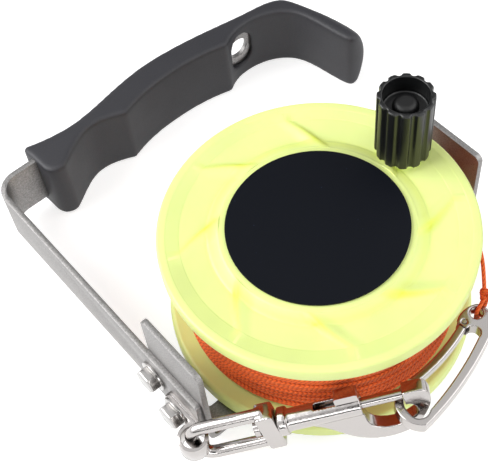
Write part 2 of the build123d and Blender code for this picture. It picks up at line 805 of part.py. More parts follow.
with BuildPart() as click_rivet:
    with BuildSketch(Plane.XY.offset(lever_bottom)):
        with Locations(rivet_place):
            Circle(rivet_radius)
    extrude(amount=lever_thickness + leaf_thickness)
    with BuildSketch(Plane.XY.offset(lever_top + leaf_thickness)):
        with Locations(rivet_place):
            Circle(rivet_head_radius)
    extrude(amount=rivet_head_height)
click_rivet.part.label = "click_rivet"
export_step(click_rivet.part, "parts/click_rivet.step")

# Shouldered pivot riveted into the strap, with a washer under its head
with BuildPart() as lever_pivot:
    with BuildSketch(Plane.XY):
        with Locations(pivot):
            Circle(pivot_foot_radius)
    extrude(amount=strap_thickness)
    with BuildSketch(Plane.XY.offset(strap_thickness)):
        with Locations(pivot):
            Circle(pivot_radius)
    extrude(amount=pivot_head_bottom - strap_thickness)
    with BuildSketch(Plane.XY.offset(pivot_head_bottom)):
        with Locations(pivot):
            Circle(pivot_head_radius)
    extrude(amount=pivot_head_height)
    fillet(lever_pivot.edges().group_by(Axis.Z)[-1], pivot_head_height / 2)
lever_pivot.part.label = "lever_pivot"
export_step(lever_pivot.part, "parts/lever_pivot.step")

with BuildPart() as lever_washer:
    with BuildSketch(Plane.XY.offset(pivot_washer_bottom)):
        with Locations(pivot):
            Circle(pivot_washer_radius)
            Circle(pivot_radius + shaft_clearance, mode=Mode.SUBTRACT)
    extrude(amount=pivot_washer_thickness)
lever_washer.part.label = "lever_washer"
export_step(lever_washer.part, "parts/lever_washer.step")

# Moulded thumb pad pushed over the end of the lever
thumb_run = (lever_reach_x - pivot_x, lever_reach_y - pivot_y)
thumb_length = hypot(*thumb_run)
pad_plane = Plane(
    origin=(*pivot, lever_bottom - pad_floor),
    x_dir=(thumb_run[0], thumb_run[1], 0), z_dir=(0, 0, 1),
)
pad_start = thumb_length + lever_thumb_width / 2 - pad_overlap
with BuildPart() as lever_pad:
    with BuildSketch(pad_plane):
        with Locations((pad_start, 0)):
            Rectangle(pad_length, pad_width, align=(Align.MIN, Align.CENTER))
    extrude(amount=pad_height)
    fillet(lever_pad.edges().filter_by(Axis.Z), pad_corner)
    fillet(lever_pad.edges().group_by(Axis.Z)[-1], pad_round)
    with BuildSketch(pad_plane.offset(pad_height)):
        for i in range(pad_rib_count):
            rib_x = pad_start + pad_length / 2 + (i - (pad_rib_count - 1) / 2) * pad_rib_pitch
            with Locations((rib_x, 0)):
                Rectangle(pad_rib_width, pad_width - 2 * pad_corner)
    extrude(amount=pad_rib_height)
    with BuildSketch(pad_plane.offset(pad_floor - seat_clearance)):
        slot_between((0, 0), (thumb_length + seat_clearance, 0), lever_thumb_width + 2 * seat_clearance)
    extrude(amount=lever_thickness + 2 * seat_clearance, mode=Mode.SUBTRACT)
lever_pad.part.label = "lever_pad"
export_step(lever_pad.part, "parts/lever_pad.step")

# Captive nut and shoulder bolt that the knob turns on
knob_bottom = boss_top + knob_lift
knob_cup_floor = knob_bottom + knob_height - knob_cup_depth
knob_washer_bottom = knob_cup_floor + running_gap
bolt_head_bottom = knob_washer_bottom + knob_washer_thickness
knob_nut_bottom = upper_face + seat_clearance
with BuildPart() as knob_nut:
    with BuildSketch(Plane.XY.offset(knob_nut_bottom)):
        with Locations((knob_x, knob_y)):
            RegularPolygon(hexagon_radius(knob_nut_flats), 6)
            Circle(knob_thread_radius + seat_clearance, mode=Mode.SUBTRACT)
    extrude(amount=knob_nut_height)
knob_nut.part.label = "knob_nut"
export_step(knob_nut.part, "parts/knob_nut.step")

with BuildPart() as knob_bolt:
    with BuildSketch(Plane.XY.offset(knob_nut_bottom)):
        with Locations((knob_x, knob_y)):
            Circle(knob_thread_radius)
    extrude(amount=boss_top - knob_nut_bottom)
    with BuildSketch(Plane.XY.offset(boss_top)):
        with Locations((knob_x, knob_y)):
            Circle(shoulder_radius)
    extrude(amount=bolt_head_bottom - boss_top)
    with BuildSketch(Plane.XY.offset(bolt_head_bottom)):
        with Locations((knob_x, knob_y)):
            Circle(knob_bolt_head_radius)
    extrude(amount=knob_bolt_head_height)
    fillet(knob_bolt.edges().group_by(Axis.Z)[-1], knob_bolt_dome)
knob_bolt.part.label = "knob_bolt"
export_step(knob_bolt.part, "parts/knob_bolt.step")

with BuildPart() as knob_washer:
    with BuildSketch(Plane.XY.offset(knob_washer_bottom)):
        with Locations((knob_x, knob_y)):
            Circle(knob_washer_radius)
            Circle(shoulder_radius + seat_clearance, mode=Mode.SUBTRACT)
    extrude(amount=knob_washer_thickness)
knob_washer.part.label = "knob_washer"
export_step(knob_washer.part, "parts/knob_washer.step")

# Fluted hollow knob with a cup in its top and a core that runs on the shoulder
with BuildPart() as knob:
    with BuildSketch(Plane.XY.offset(knob_bottom)):
        with Locations((knob_x, knob_y)):
            Circle(knob_radius)
            flute_reach = knob_radius - knob_flute_depth + knob_flute_radius
            with PolarLocations(flute_reach, knob_flute_count):
                Circle(knob_flute_radius, mode=Mode.SUBTRACT)
    extrude(amount=knob_height)
    rims = knob.edges().group_by(Axis.Z)
    fillet(rims[0] + rims[-1], knob_edge_round)
    with BuildSketch(Plane.XY.offset(knob_bottom + knob_height)):
        with Locations((knob_x, knob_y)):
            Circle(knob_cup_radius)
    extrude(amount=-knob_cup_depth, mode=Mode.SUBTRACT)
    with BuildSketch(Plane.XY.offset(knob_bottom)):
        with Locations((knob_x, knob_y)):
            Circle(knob_hollow_radius)
            Circle(shoulder_radius + shaft_clearance + knob_core_wall, mode=Mode.SUBTRACT)
    extrude(amount=knob_hollow_depth, mode=Mode.SUBTRACT)
    with BuildSketch(Plane.XY.offset(knob_bottom)):
        with Locations((knob_x, knob_y)):
            Circle(shoulder_radius + shaft_clearance)
    extrude(amount=knob_height, mode=Mode.SUBTRACT)
knob.part.label = "knob"
export_step(knob.part, "parts/knob.step")

# Line on the drum: a plain core, and the outer layer wound over it
line_radius = line_diameter / 2
lay_radius = winding_radius - line_radius
winding_height = line_turns * line_pitch
winding_low = (lower_face + upper_face - winding_height) / 2
with BuildPart() as line_core:
    with BuildSketch(Plane.XY.offset(lower_face + core_end_gap)):
        Circle(winding_radius - line_diameter - core_gap)
        Circle(drum_radius + core_gap, mode=Mode.SUBTRACT)
    extrude(amount=upper_face - lower_face - 2 * core_end_gap)
line_core.part.label = "line_core"
export_step(line_core.part, "parts/line_core.step")


def lay_place(half_turns):
    """The point on the lay after this many half turns."""
    height = winding_low + half_turns * line_pitch / 2
    return Vector(*polar(lay_radius, winding_start_angle + 180 * half_turns, height))


def lay_heading(half_turns):
    """The direction of the lay after this many half turns."""
    around = polar(lay_radius * pi, winding_start_angle + 180 * half_turns + 90)
    return Vector(around[0], around[1], line_pitch / 2).normalized()


def biarc(start, heading, end, end_heading):
    """Two tangent arcs from one point and heading to another."""
    chord = end - start
    both = heading + end_heading
    spread_term = 2 * (1 - heading.dot(end_heading))
    reach = (sqrt(chord.dot(both) ** 2 + spread_term * chord.dot(chord)) - chord.dot(both)) / spread_term
    corner = start + heading * reach
    end_corner = end - end_heading * reach
    joint = (corner + end_corner) / 2
    TangentArc(start, joint, tangent=heading)
    TangentArc(joint, end, tangent=(end_corner - corner).normalized())


with BuildPart() as line_winding:
    with BuildLine() as lay:
        half_turn_count = 2 * line_turns
        Line(lay_place(0) - lay_heading(0) * line_diameter, lay_place(0))
        for i in range(half_turn_count):
            biarc(lay_place(i), lay_heading(i), lay_place(i + 1), lay_heading(i + 1))
        last = half_turn_count
        Line(lay_place(last), lay_place(last) + lay_heading(last) * line_diameter)
    with BuildSketch(Plane(origin=lay.line @ 0, z_dir=lay.line % 0)):
        Circle(line_radius)
    sweep()
line_winding.part.label = "line_winding"
export_step(line_winding.part, "parts/line_winding.step")

# The least gap of the winding to itself, from points one turn apart
samples_per_turn = 48
sample_stride = 5
turn_points = [lay.line @ (i / (samples_per_turn * line_turns)) for i in range(samples_per_turn * line_turns)]
gaps = [
    (turn_points[i] - turn_points[j]).length - line_diameter
    for i in range(0, len(turn_points) - samples_per_turn // 2, sample_stride)
    for j in range(i + samples_per_turn // 2, min(i + 2 * samples_per_turn, len(turn_points)))
]
print("winding least gap to itself", round(min(gaps), 3))

# Frame of the bolt snap: its origin is the bar in the sheet loop, and x runs along its axis
snap_origin = Vector(loop_x, loop_y, frame_bolt_z)
snap_turn = degrees(asin((flange_radius + snap_side_gap) / hypot(loop_x, loop_y)))
snap_heading = degrees(atan2(-loop_y, -loop_x)) - snap_turn
snap_axis = Vector(
    cos(radians(snap_rise)) * cos(radians(snap_heading)),
    cos(radians(snap_rise)) * sin(radians(snap_heading)),
    sin(radians(snap_rise)),
)
outward = Vector(*polar(1, snap_heading - 90))
upright = outward.cross(snap_axis)


def snap_plane(lean):
    """The plane of a flat piece of the snap, leaned back by this angle."""
    normal = outward * cos(radians(lean)) + upright * sin(radians(lean))
    return Plane(origin=snap_origin, x_dir=snap_axis, z_dir=normal)


def across_snap(distance):
    """The plane square to the snap's axis at this distance from its origin."""
    return Plane(origin=snap_origin + snap_axis * distance, x_dir=upright, z_dir=snap_axis)


ring_plane = snap_plane(ring_lean)
hook_plane = snap_plane(hook_lean)
block_start = ring_length - block_length / 2
block_end = block_start + block_length
body_start = block_end + running_gap
barrel_end = body_start + barrel_length
rod_start = barrel_end - bolt_tail_length

# Rounded ring with a thicker block that the swivel runs in
with BuildPart() as snap_eye:
    ring_top = ring_height / 2 - ring_drop
    ring_low = -ring_height / 2 - ring_drop
    with BuildLine(ring_plane) as ring_path:
        FilletPolyline(
            (ring_length, ring_top), (0, ring_top), (0, ring_low), (ring_length, ring_low),
            radius=ring_corner_radius,
        )
    with BuildSketch(Plane(origin=ring_path.line @ 0, z_dir=ring_path.line % 0)):
        Circle(ring_wire_radius)
    sweep()
    with BuildSketch(ring_plane) as block_face:
        with Locations((block_start, (ring_top + ring_low) / 2)):
            Rectangle(block_length, ring_height + block_margin, align=(Align.MIN, Align.CENTER))
        fillet(block_face.vertices(), block_round)
    extrude(amount=block_thickness / 2, both=True)
    with BuildSketch(across_snap(block_start)):
        Circle(swivel_radius + shaft_clearance)
    extrude(amount=block_length, mode=Mode.SUBTRACT)
snap_eye.part.label = "snap_eye"
export_step(snap_eye.part, "parts/snap_eye.step")

# Swivel rivet: its head inside the ring, its shank through the block into the body
with BuildPart() as swivel_rivet:
    with BuildSketch(across_snap(block_start - running_gap)):
        Circle(swivel_head_radius)
    extrude(amount=-swivel_head_height)
    with BuildSketch(across_snap(block_start - running_gap)):
        Circle(swivel_radius)
    extrude(amount=block_length + 2 * running_gap + swivel_grip_length)
swivel_rivet.part.label = "swivel_rivet"
export_step(swivel_rivet.part, "parts/swivel_rivet.step")

# Body of the snap: collar, slotted barrel, and the hook that curls below it
stem_start = barrel_end - nub_length / 2 - stem_length / 2
with BuildPart() as snap_body:
    with BuildSketch(hook_plane) as hook_face:
        hook_start = (barrel_end, 0)
        with BuildLine():
            belly = spread(hook_belly_shares, hook_reach, hook_depth, hook_start)
            throat = spread(hook_throat_shares, hook_reach, hook_depth, hook_start)
            nose_top = (throat[0][0], belly[-1][1])
            Polyline(throat[-1], hook_start, (belly[0][0], 0), belly[0])
            Spline(*belly)
            Polyline(belly[-1], nose_top, throat[0])
            Spline(*throat)
        make_face()
    extrude(amount=hook_thickness / 2, both=True)
    with BuildSketch(across_snap(body_start)):
        Circle(collar_radius)
    extrude(amount=collar_length)
    with BuildSketch(across_snap(body_start)):
        Circle(barrel_radius)
    extrude(amount=barrel_length)
    with BuildSketch(across_snap(barrel_end)):
        Circle(bore_radius)
    extrude(amount=-bore_length, mode=Mode.SUBTRACT)
    with BuildSketch(across_snap(body_start)):
        Circle(swivel_radius + seat_clearance)
    extrude(amount=running_gap + swivel_grip_length, mode=Mode.SUBTRACT)
    slot_start = stem_start - bolt_travel - slot_clearance
    with BuildSketch(hook_plane):
        with Locations((slot_start, 0)):
            Rectangle(
                stem_start + stem_length + slot_clearance - slot_start, barrel_radius + overrun,
                align=(Align.MIN, Align.MIN),
            )
    extrude(amount=stem_width / 2 + slot_clearance, both=True, mode=Mode.SUBTRACT)
snap_body.part.label = "snap_body"
export_step(snap_body.part, "parts/snap_body.step")

# Sliding bolt: a rod that closes the throat, and a thumb nub on a stem through the slot
with BuildPart() as snap_bolt:
    with BuildSketch(across_snap(rod_start)):
        Circle(bolt_rod_radius)
    extrude(amount=bolt_tail_length + throat_width - running_gap)
    with BuildSketch(hook_plane):
        with Locations((stem_start, 0)):
            Rectangle(stem_length, barrel_radius + 2 * running_gap, align=(Align.MIN, Align.MIN))
    extrude(amount=stem_width / 2, both=True)
    with BuildSketch(hook_plane) as nub_face:
        with Locations((barrel_end - nub_length, barrel_radius + running_gap)):
            Rectangle(nub_length, nub_height, align=(Align.MIN, Align.MIN))
        fillet(nub_face.vertices().group_by(Axis.Y)[-1], nub_round)
    extrude(amount=nub_width / 2, both=True)
snap_bolt.part.label = "snap_bolt"
export_step(snap_bolt.part, "parts/snap_bolt.step")

# Second hook: a flat-sided ring with a bow in the snap's throat and an eye for the line
bow = hook_plane.from_local_coords((barrel_end + bow_along, -bow_drop, -bow_inset))
line_hook_turn = degrees(asin((winding_radius + line_hook_side_gap) / hypot(bow.X, bow.Y)))
line_hook_heading = degrees(atan2(-bow.Y, -bow.X)) - line_hook_turn
line_hook_plane = Plane(
    origin=bow - Vector(0, 0, line_hook_height / 2),
    x_dir=polar(1, line_hook_heading), z_dir=(0, 0, 1),
)
pin_place = (gate_pin_shares[0] * line_hook_length, gate_pin_shares[1] * line_hook_width)
gate_lift = (line_hook_height - gate_height) / 2
with BuildPart() as line_hook:
    with BuildSketch(line_hook_plane):
        outer = spread(line_hook_outer_shares, line_hook_length, line_hook_width)
        inner = spread(line_hook_inner_shares, line_hook_length, line_hook_width)
        with BuildLine():
            arc_chain(outer)
            Line(outer[-1], inner[0])
            arc_chain(inner)
            Line(inner[-1], outer[0])
        make_face()
    extrude(amount=line_hook_height)
    with BuildSketch(line_hook_plane):
        eye_place = (line_eye_shares[0] * line_hook_length, line_eye_shares[1] * line_hook_width)
        with Locations(eye_place):
            Circle(line_eye_radius)
        with Locations(pin_place):
            Circle(gate_pin_radius + seat_clearance)
    extrude(amount=line_hook_height, mode=Mode.SUBTRACT)
    with BuildSketch(line_hook_plane.offset(gate_lift - gate_gap)):
        with Locations(pin_place):
            Circle(gate_width / 2 + gate_gap)
            Rectangle(gate_seat_length, line_hook_width / 2, align=(Align.MAX, Align.CENTER))
    extrude(amount=gate_height + 2 * gate_gap, mode=Mode.SUBTRACT)
line_hook.part.label = "line_hook"
export_step(line_hook.part, "parts/line_hook.step")

# Sprung gate between the nose and the lug, on a pin through both of the lug's cheeks
with BuildPart() as hook_gate:
    with BuildSketch(line_hook_plane.offset(gate_lift)):
        gate_mid = (gate_mid_shares[0] * line_hook_length, gate_mid_shares[1] * line_hook_width)
        gate_tip = (gate_tip_shares[0] * line_hook_length + gate_gap, gate_tip_shares[1] * line_hook_width)
        with BuildLine():
            ThreePointArc(gate_tip, gate_mid, pin_place)
        trace(line_width=gate_width)
        with Locations(pin_place):
            Circle(gate_width / 2)
            Circle(gate_pin_radius + shaft_clearance, mode=Mode.SUBTRACT)
    extrude(amount=gate_height)
hook_gate.part.label = "hook_gate"
export_step(hook_gate.part, "parts/hook_gate.step")

with BuildPart() as gate_pin:
    with BuildSketch(line_hook_plane):
        with Locations(pin_place):
            Circle(gate_pin_radius)
    extrude(amount=line_hook_height)
gate_pin.part.label = "gate_pin"
export_step(gate_pin.part, "parts/gate_pin.step")

# Route of the lead, from the knot up to the winding
hook_eye = line_hook_plane.from_local_coords((*eye_place, line_hook_height / 2))
lead_points = [hook_eye + Vector(*rise) for rise in lead_rises] + [
    Vector(*polar(winding_radius + margin, angle, height))
    for margin, angle, height in zip(lead_margins, lead_angles, lead_heights)
]

# Loop of line through the hook's eye, drawn up into a barrel knot above it
with BuildPart() as line_knot:
    loop_place = hook_eye + line_hook_plane.x_dir * knot_loop_radius
    with BuildSketch(Plane(origin=loop_place, x_dir=line_hook_plane.x_dir, z_dir=line_hook_plane.y_dir)):
        Circle(knot_loop_radius + line_radius)
        Circle(knot_loop_radius - line_radius, mode=Mode.SUBTRACT)
    extrude(amount=line_radius, both=True)
    with BuildSketch(Plane(origin=lead_points[0], z_dir=lead_points[0] - lead_points[1])):
        Circle(knot_radius)
    extrude(amount=knot_length)
line_knot.part.label = "line_knot"
export_step(line_knot.part, "parts/line_knot.step")

# Lead from the knot up to the winding, as straight runs joined by tangent arcs
lead_radii = []
for before, corner, after in zip(lead_points, lead_points[1:], lead_points[2:]):
    turn = (corner - before).get_angle(after - corner)
    shorter = min((corner - before).length, (after - corner).length)
    lead_radii.append(bend_share * shorter / tan(radians(turn / 2)))
print("lead radii", [round(radius, 1) for radius in lead_radii])
with BuildPart() as line_lead:
    with BuildLine() as lead_path:
        FilletPolyline(*lead_points, radius=lead_radii)
    with BuildSketch(Plane(origin=lead_path.line @ 0, z_dir=lead_path.line % 0)):
        Circle(line_radius)
    sweep()
line_lead.part.label = "line_lead"
export_step(line_lead.part, "parts/line_lead.step")
lead_length = sum(edge.length for edge in lead_path.edges())
print("lead length", round(lead_length, 1), "volume", round(line_lead.part.volume, 1))
print("section times length", round(pi * line_radius ** 2 * lead_length, 1))
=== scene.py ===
"""Looks of a hand-held dive reel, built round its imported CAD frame, in metres."""
import math

import bpy
from mathutils import Matrix, Vector


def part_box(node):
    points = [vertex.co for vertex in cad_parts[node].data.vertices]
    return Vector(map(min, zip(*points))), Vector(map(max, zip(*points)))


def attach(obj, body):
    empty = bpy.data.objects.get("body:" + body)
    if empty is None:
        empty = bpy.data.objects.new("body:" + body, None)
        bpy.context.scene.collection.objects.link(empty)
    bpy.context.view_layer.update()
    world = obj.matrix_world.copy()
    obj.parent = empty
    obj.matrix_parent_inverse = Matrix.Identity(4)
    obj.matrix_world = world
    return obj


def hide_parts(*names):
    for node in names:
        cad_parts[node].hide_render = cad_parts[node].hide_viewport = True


bl_info = {
    "name": "Dive reel",
    "version": (1, 0, 0),
    "blender": (4, 5, 0),
    "location": "View3D > Sidebar > Dive reel",
    "description": "Builds the visible pieces of a dive reel round its CAD frame",
    "category": "Object",
}

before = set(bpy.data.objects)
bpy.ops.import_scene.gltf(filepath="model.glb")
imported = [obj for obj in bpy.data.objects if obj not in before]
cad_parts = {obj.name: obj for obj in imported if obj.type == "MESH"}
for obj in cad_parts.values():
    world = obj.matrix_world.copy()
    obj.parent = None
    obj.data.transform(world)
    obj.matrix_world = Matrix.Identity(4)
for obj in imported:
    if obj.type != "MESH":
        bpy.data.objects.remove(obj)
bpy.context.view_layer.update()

MM = 0.001

# The stage, in metres: the floor's side and depth under the reel, and where the lamps point
FLOOR_SIZE = 8
FLOOR_DROP = 0.0002
LAMP_TARGET = Vector((0, 0, 0.03))
# Name, place, width and watts of each lamp
LAMPS = (
    ("key", (-0.6, 0.45, 0.6), 0.8, 10.0),
    ("fill", (0.6, -0.5, 0.7), 0.9, 4.0),
    ("front", (-0.45, -0.75, 0.4), 0.9, 8.5),
)
# Name, direction, distance and sides of each dark card
CARDS = (
    ("back_card", (0.46, 0.68, 0.57), 1.3, (1.1, 0.8)),
    ("front_card", (-0.40, -0.62, 0.68), 0.95, (0.75, 0.5)),
    ("low_card", (-0.76, -0.62, 0.17), 0.8, (1.3, 0.2)),
)
# The camera that was fitted to the photograph's 488 by 464 frame, with no shift
CAMERA_RIGHT = Vector((0.762134, -0.643249, -0.073367))
CAMERA_UP = Vector((0.565331, 0.605986, 0.559627))
CAMERA_FORWARD = Vector((0.315520, 0.467987, -0.825491))
CAMERA_PLACE = (-0.152795, -0.175773, 0.401326)
CAMERA_LENS = 78.518
CAMERA_NEAR = 0.01

# Share of the way that a smoothing pass moves a point, and how many more passes a tip takes
MELT = 0.5
TIP_PASSES = 8

# Points of a CAD copy or a turned mesh that are closer than this, in millimetres, are merged
MERGE = 0.002
# Angles, in degrees, up to which faces count as flat, and past which an edge is broken
FLAT_ANGLE = 0.4
SHARP_ANGLE = 35
BEVEL_SEGMENTS = 2
# Angles, in degrees, up to which the line, the flange and broken edges are shaded smooth
LINE_SHADING = 70
FLANGE_SHADING = 50
EDGE_SHADING = 40
# Steps in each rounded corner of a profile
CORNER_STEPS = 4

# Bevels of the bolts, washers and nuts, in millimetres
BOLT_EDGE = 0.4
WASHER_EDGE = 0.2
NUT_EDGE = 0.3
# Spacing, in millimetres, of the faces that a piece is smoothed from, and its smoothing passes
KNOB_GRAIN = 0.4
KNOB_PASSES = 4
PAD_GRAIN = 0.35
PAD_PASSES = 8
GRIP_PASSES = 10
# Node, body and smoothing passes of each cast piece
CAST_PIECES = (
    ("snap_eye", "eye", 20), ("snap_body", "snap", 14),
    ("line_hook", "hook", 14), ("hook_gate", "gate", 6),
)

# The grip's hooked end, in millimetres: its root, its end face and the grip's half height
HOOK_START_X = 80
HOOK_ROOT_Y = 112
HOOK_FADE = 20
END_Y = 84.5
END_X = 96
END_DEPTH = 5.4
SIDE_X, SIDE_Y = 0.88, 0.47
GRIP_MIDDLE = 16.75
CROWN = 6
TIP_X = 90
TIP_RUN = 6
TIP_SHARE = 0.4

# The thumb lever's pivot and its pad's middle, as in the CAD, and the slope of the pad's outer end
PIVOT_RADIUS = 36.35
PIVOT_ANGLE = 15
PAD_MIDDLE = Vector((28.5, 86.0, 0))
CUT_REACH = 84.0
CUT_HEIGHT = 12.8
CUT_ALONG, CUT_UP = 0.8, 0.6

# The upper flange's heights, in millimetres
SKIRT = 52.9
UNDERSIDE = 54.6
TRAY = 57.5
FACE = 61.5
# The vanes rise between these radii and above this height, in millimetres
TRAY_INNER, TRAY_OUTER = 38.5, 59
TRAY_SEARCH = 57
# The flange's mesh: spacing of the tray's stations, segments, merged gap and smallest radius
TRAY_STEP = 0.8
FLANGE_SEGMENTS = 320
FLANGE_MERGE = 0.03
NEARLY_ZERO = 0.01

# The vanes: their foot, how far they run, their sweep in degrees, their width and how it tapers
VANE_COUNT = 8
VANE_FOOT = 38
VANE_RUN = 19.5
VANE_SWEEP = 22
VANE_BOW = 0.15
VANE_LEAD = 3
VANE_WIDTH = 5.4
VANE_TAPER = 2.6
SOFT_SIDE, STEEP_SIDE = 1.8, 0.6
VANE_DROP = 0.3
FLUSH_DEPTH = 3

# Painted shade in the spool's creases: radius and strength at the disc's foot and at the lip's
# foot, their spread, and the shift, spread and fade of the shade beside each vane
DISC_FOOT, DISC_SHADE = 41.6, 0.4
LIP_FOOT, LIP_SHADE = 56.2, 0.15
FOOT_SPREAD = 2
RIDGE_SHIFT, RIDGE_SPREAD, RIDGE_DROP = 0.15, 0.42, 0.2

# The knob's place on the flange, and the segments of its boss
KNOB_RADIUS = 50
KNOB_ANGLE = 4.6
BOSS_SEGMENTS = 64

# Radius, offset in turns and phase of each layer of line, and points in a turn
LAYERS = ((55.6, 0.0, 1.3), (54.0, 0.5, 4.1))
TURN_STEPS = 40
LINE_START = -10
# One stitch each 1.8 mm, coarser than a real braid's, so that it shows
STITCH = 1.8
STITCH_SLANT = 0.8

# Diameters of the lead, the wraps, the cut end and its fibres
LEAD_DIAMETER = 1.65
WRAP_DIAMETER = 1.5
TAIL_DIAMETER = 1.4
FIBRE_DIAMETER = 0.28
# Wraps and points in each, and fibres of the cut end
WRAPS = 5
WRAP_STEPS = 8
FIBRES = 16
# Where the wraps start on the lead's end, how far they climb, and their radius, in millimetres
WRAP_START = 0.5
WRAP_CLIMB = 4.2
WRAP_REACH = 1.25
# Bevel resolution of the line's tubes
TUBE_ROUNDING = 2


def linear(code):
    """Linear RGB of an sRGB hex value."""
    parts = [int(code[i:i + 2], 16) / 255 for i in (1, 3, 5)]
    return tuple(c / 12.92 if c <= 0.04045 else ((c + 0.055) / 1.055) ** 2.4 for c in parts)


def colour(name, code, text):
    """A colour property with this sRGB default."""
    return bpy.props.FloatVectorProperty(
        name=name, description=text, subtype="COLOR", size=3, min=0, max=1, default=linear(code)
    )


def size(name, millimetres, text):
    """A length property with this default."""
    return bpy.props.FloatProperty(
        name=name, description=text, unit="LENGTH", min=0, default=millimetres * MM, precision=5
    )


class ReelColours(bpy.types.PropertyGroup):
    """Colours of the reel's finishes."""

    spool: colour("Spool", "#ecfa9c", "Fluorescent yellow-green of the moulded spool")
    # Painted shade, a deeper yellow, in the spool's creases
    spool_crease_shade: colour("Painted crease shade", "#e4ee2a", "Painted shade, a deeper yellow, in the spool's creases")
    grip: colour("Grip", "#27272c", "Black of the moulded grip")
    knob: colour("Knob", "#0f1011", "Black of the winding knob and the thumb pad")
    label: colour("Label", "#070a12", "Blue-black of the label's film")
    line: colour("Line", "#ff6420", "Orange-red of the braided line")
    sheet: colour("Sheet steel", "#999796", "Grey of the satin sheet steel")
    cast: colour("Cast steel", "#b6b2b0", "Grey of the polished steel of the snap and hook")
    screw: colour("Bolt steel", "#b2b0ae", "Grey of the bolts, nuts and washers")
    # The knob's bolt and washer are painted near black as the shade in the knob's cup
    dark_screw: colour("Knob bolt", "#040405", "Near black painted on the knob's bolt and washer as the shade in its cup")


class ReelSizes(bpy.types.PropertyGroup):
    """Sizes of the pieces that are modelled here."""

    line: size("Line", 1.9, "Diameter of the braided line as it lies on the spool")
    vane: size("Vanes", 2.9, "Height of the curved vanes above the tray")
    lip_round: size("Lip", 1.5, "Rounding of the upper flange's lip")
    cast_grain: size(
        "Cast pieces", 0.3, "Spacing of the faces that the snap and hooks are smoothed from"
    )
    grip_grain: size("Grip", 0.8, "Spacing of the faces that the grip is smoothed from")
    sheet_edge: size("Sheet edges", 0.25, "Rounding of the sheet steel's edges")
    turns: bpy.props.IntProperty(
        name="Turns", description="Turns of line that show on the winding", min=1, default=18
    )


def sizes():
    """The sizes of the pieces."""
    return bpy.context.scene.reel_sizes


def colours():
    """The colours of the finishes."""
    return bpy.context.scene.reel_colours


def add_node(material, kind, links=(), values=(), **settings):
    """Adds a node with its settings, socket values and incoming links."""
    tree = material.node_tree
    made = tree.nodes.new(kind)
    for name, value in settings.items():
        setattr(made, name, value)
    for socket, value in dict(values).items():
        made.inputs[socket].default_value = value
    for socket, source in dict(links).items():
        tree.links.new(source, made.inputs[socket])
    return made


def new_material(name, base, metallic, roughness, **values):
    """A material, its Principled shader and the piece's own coordinates."""
    made = bpy.data.materials.new(name)
    made.use_nodes = True
    shader = made.node_tree.nodes["Principled BSDF"]
    shader.inputs["Base Color"].default_value = (*base, 1)
    shader.inputs["Metallic"].default_value = metallic
    shader.inputs["Roughness"].default_value = roughness
    for socket, value in values.items():
        shader.inputs[socket].default_value = value
    place = add_node(made, "ShaderNodeTexCoord")
    return made, shader, place


def scaled(base, factor):
    """A linear colour made lighter or darker, with alpha."""
    return tuple(min(1.0, c * factor) for c in base) + (1.0,)


def vary(made, shader, source, base, low, high, spread=(0.3, 0.7)):
    """Lets the base colour run between two shades of itself with a pattern."""
    ramp = add_node(made, "ShaderNodeValToRGB", {"Fac": source})
    ramp.color_ramp.elements[0].position = spread[0]
    ramp.color_ramp.elements[1].position = spread[1]
    ramp.color_ramp.elements[0].color = scaled(base, low)
    ramp.color_ramp.elements[1].color = scaled(base, high)
    made.node_tree.links.new(ramp.outputs["Color"], shader.inputs["Base Color"])
    return ramp


def roughen(made, shader, source, low, high):
    """Lets the roughness run between two values with a pattern."""
    spread = add_node(
        made, "ShaderNodeMapRange", {"Value": source}, {"To Min": low, "To Max": high}
    )
    made.node_tree.links.new(spread.outputs["Result"], shader.inputs["Roughness"])


def bump(made, shader, source, height):
    """Lets a pattern stand this high, in millimetres."""
    raised = add_node(
        made, "ShaderNodeBump", {"Height": source}, {"Strength": 1.0, "Distance": height * MM}
    )
    made.node_tree.links.new(raised.outputs["Normal"], shader.inputs["Normal"])


def noise(made, place, period, detail=3.0, stretch=(1, 1, 1)):
    """A noise with this period in millimetres, stretched along some axes."""
    scale = [1 / (period * MM * s) for s in stretch]
    mapped = add_node(
        made, "ShaderNodeMapping", {"Vector": place.outputs["Object"]}, {"Scale": scale}
    )
    return add_node(
        made, "ShaderNodeTexNoise",
        {"Vector": mapped.outputs["Vector"]}, {"Scale": 1.0, "Detail": detail},
    )


def make_spool_plastic():
    """Fluorescent polystyrene, injection moulded: satin, slightly cloudy, lit from inside, with
    shade painted a deeper yellow in its creases.
    """
    base = tuple(colours().spool)
    made, shader, place = new_material(
        "fluorescent_polystyrene", base, 0, 0.42,
        **{"IOR": 1.55, "Subsurface Weight": 0.12, "Subsurface Scale": 0.003},
    )
    shader.inputs["Subsurface Radius"].default_value = (1.0, 1.0, 0.25)
    clouds = noise(made, place, 22)
    shades = vary(made, shader, clouds.outputs["Fac"], base, 0.95, 1.03)
    # Painted shade: a deeper yellow in the creases beside the vanes and at the feet of the disc and
    # of the lip
    crease_shade = add_node(made, "ShaderNodeAttribute", attribute_name="crease_shade")
    crease_shaded = add_node(
        made, "ShaderNodeMix", {"Factor": crease_shade.outputs["Fac"], 6: shades.outputs["Color"]},
        {7: (*colours().spool_crease_shade, 1)}, data_type="RGBA",
    )
    made.node_tree.links.new(crease_shaded.outputs[2], shader.inputs["Base Color"])
    roughen(made, shader, clouds.outputs["Fac"], 0.36, 0.48)
    # A 0.6 mm orange peel, the coarsest that a spark-polished tool leaves
    bump(made, shader, noise(made, place, 0.6).outputs["Fac"], 0.01)
    return made


def make_grip_plastic():
    """Glass-filled nylon from an etched tool: matt, with a fine grain that catches a grey sheen."""
    base = tuple(colours().grip)
    made, shader, place = new_material("etched_nylon", base, 0, 0.55, IOR=1.53)
    grain = noise(made, place, 0.5, 2)
    vary(made, shader, grain.outputs["Fac"], base, 0.8, 1.25)
    roughen(made, shader, noise(made, place, 12).outputs["Fac"], 0.48, 0.6)
    bump(made, shader, grain.outputs["Fac"], 0.05)
    return made


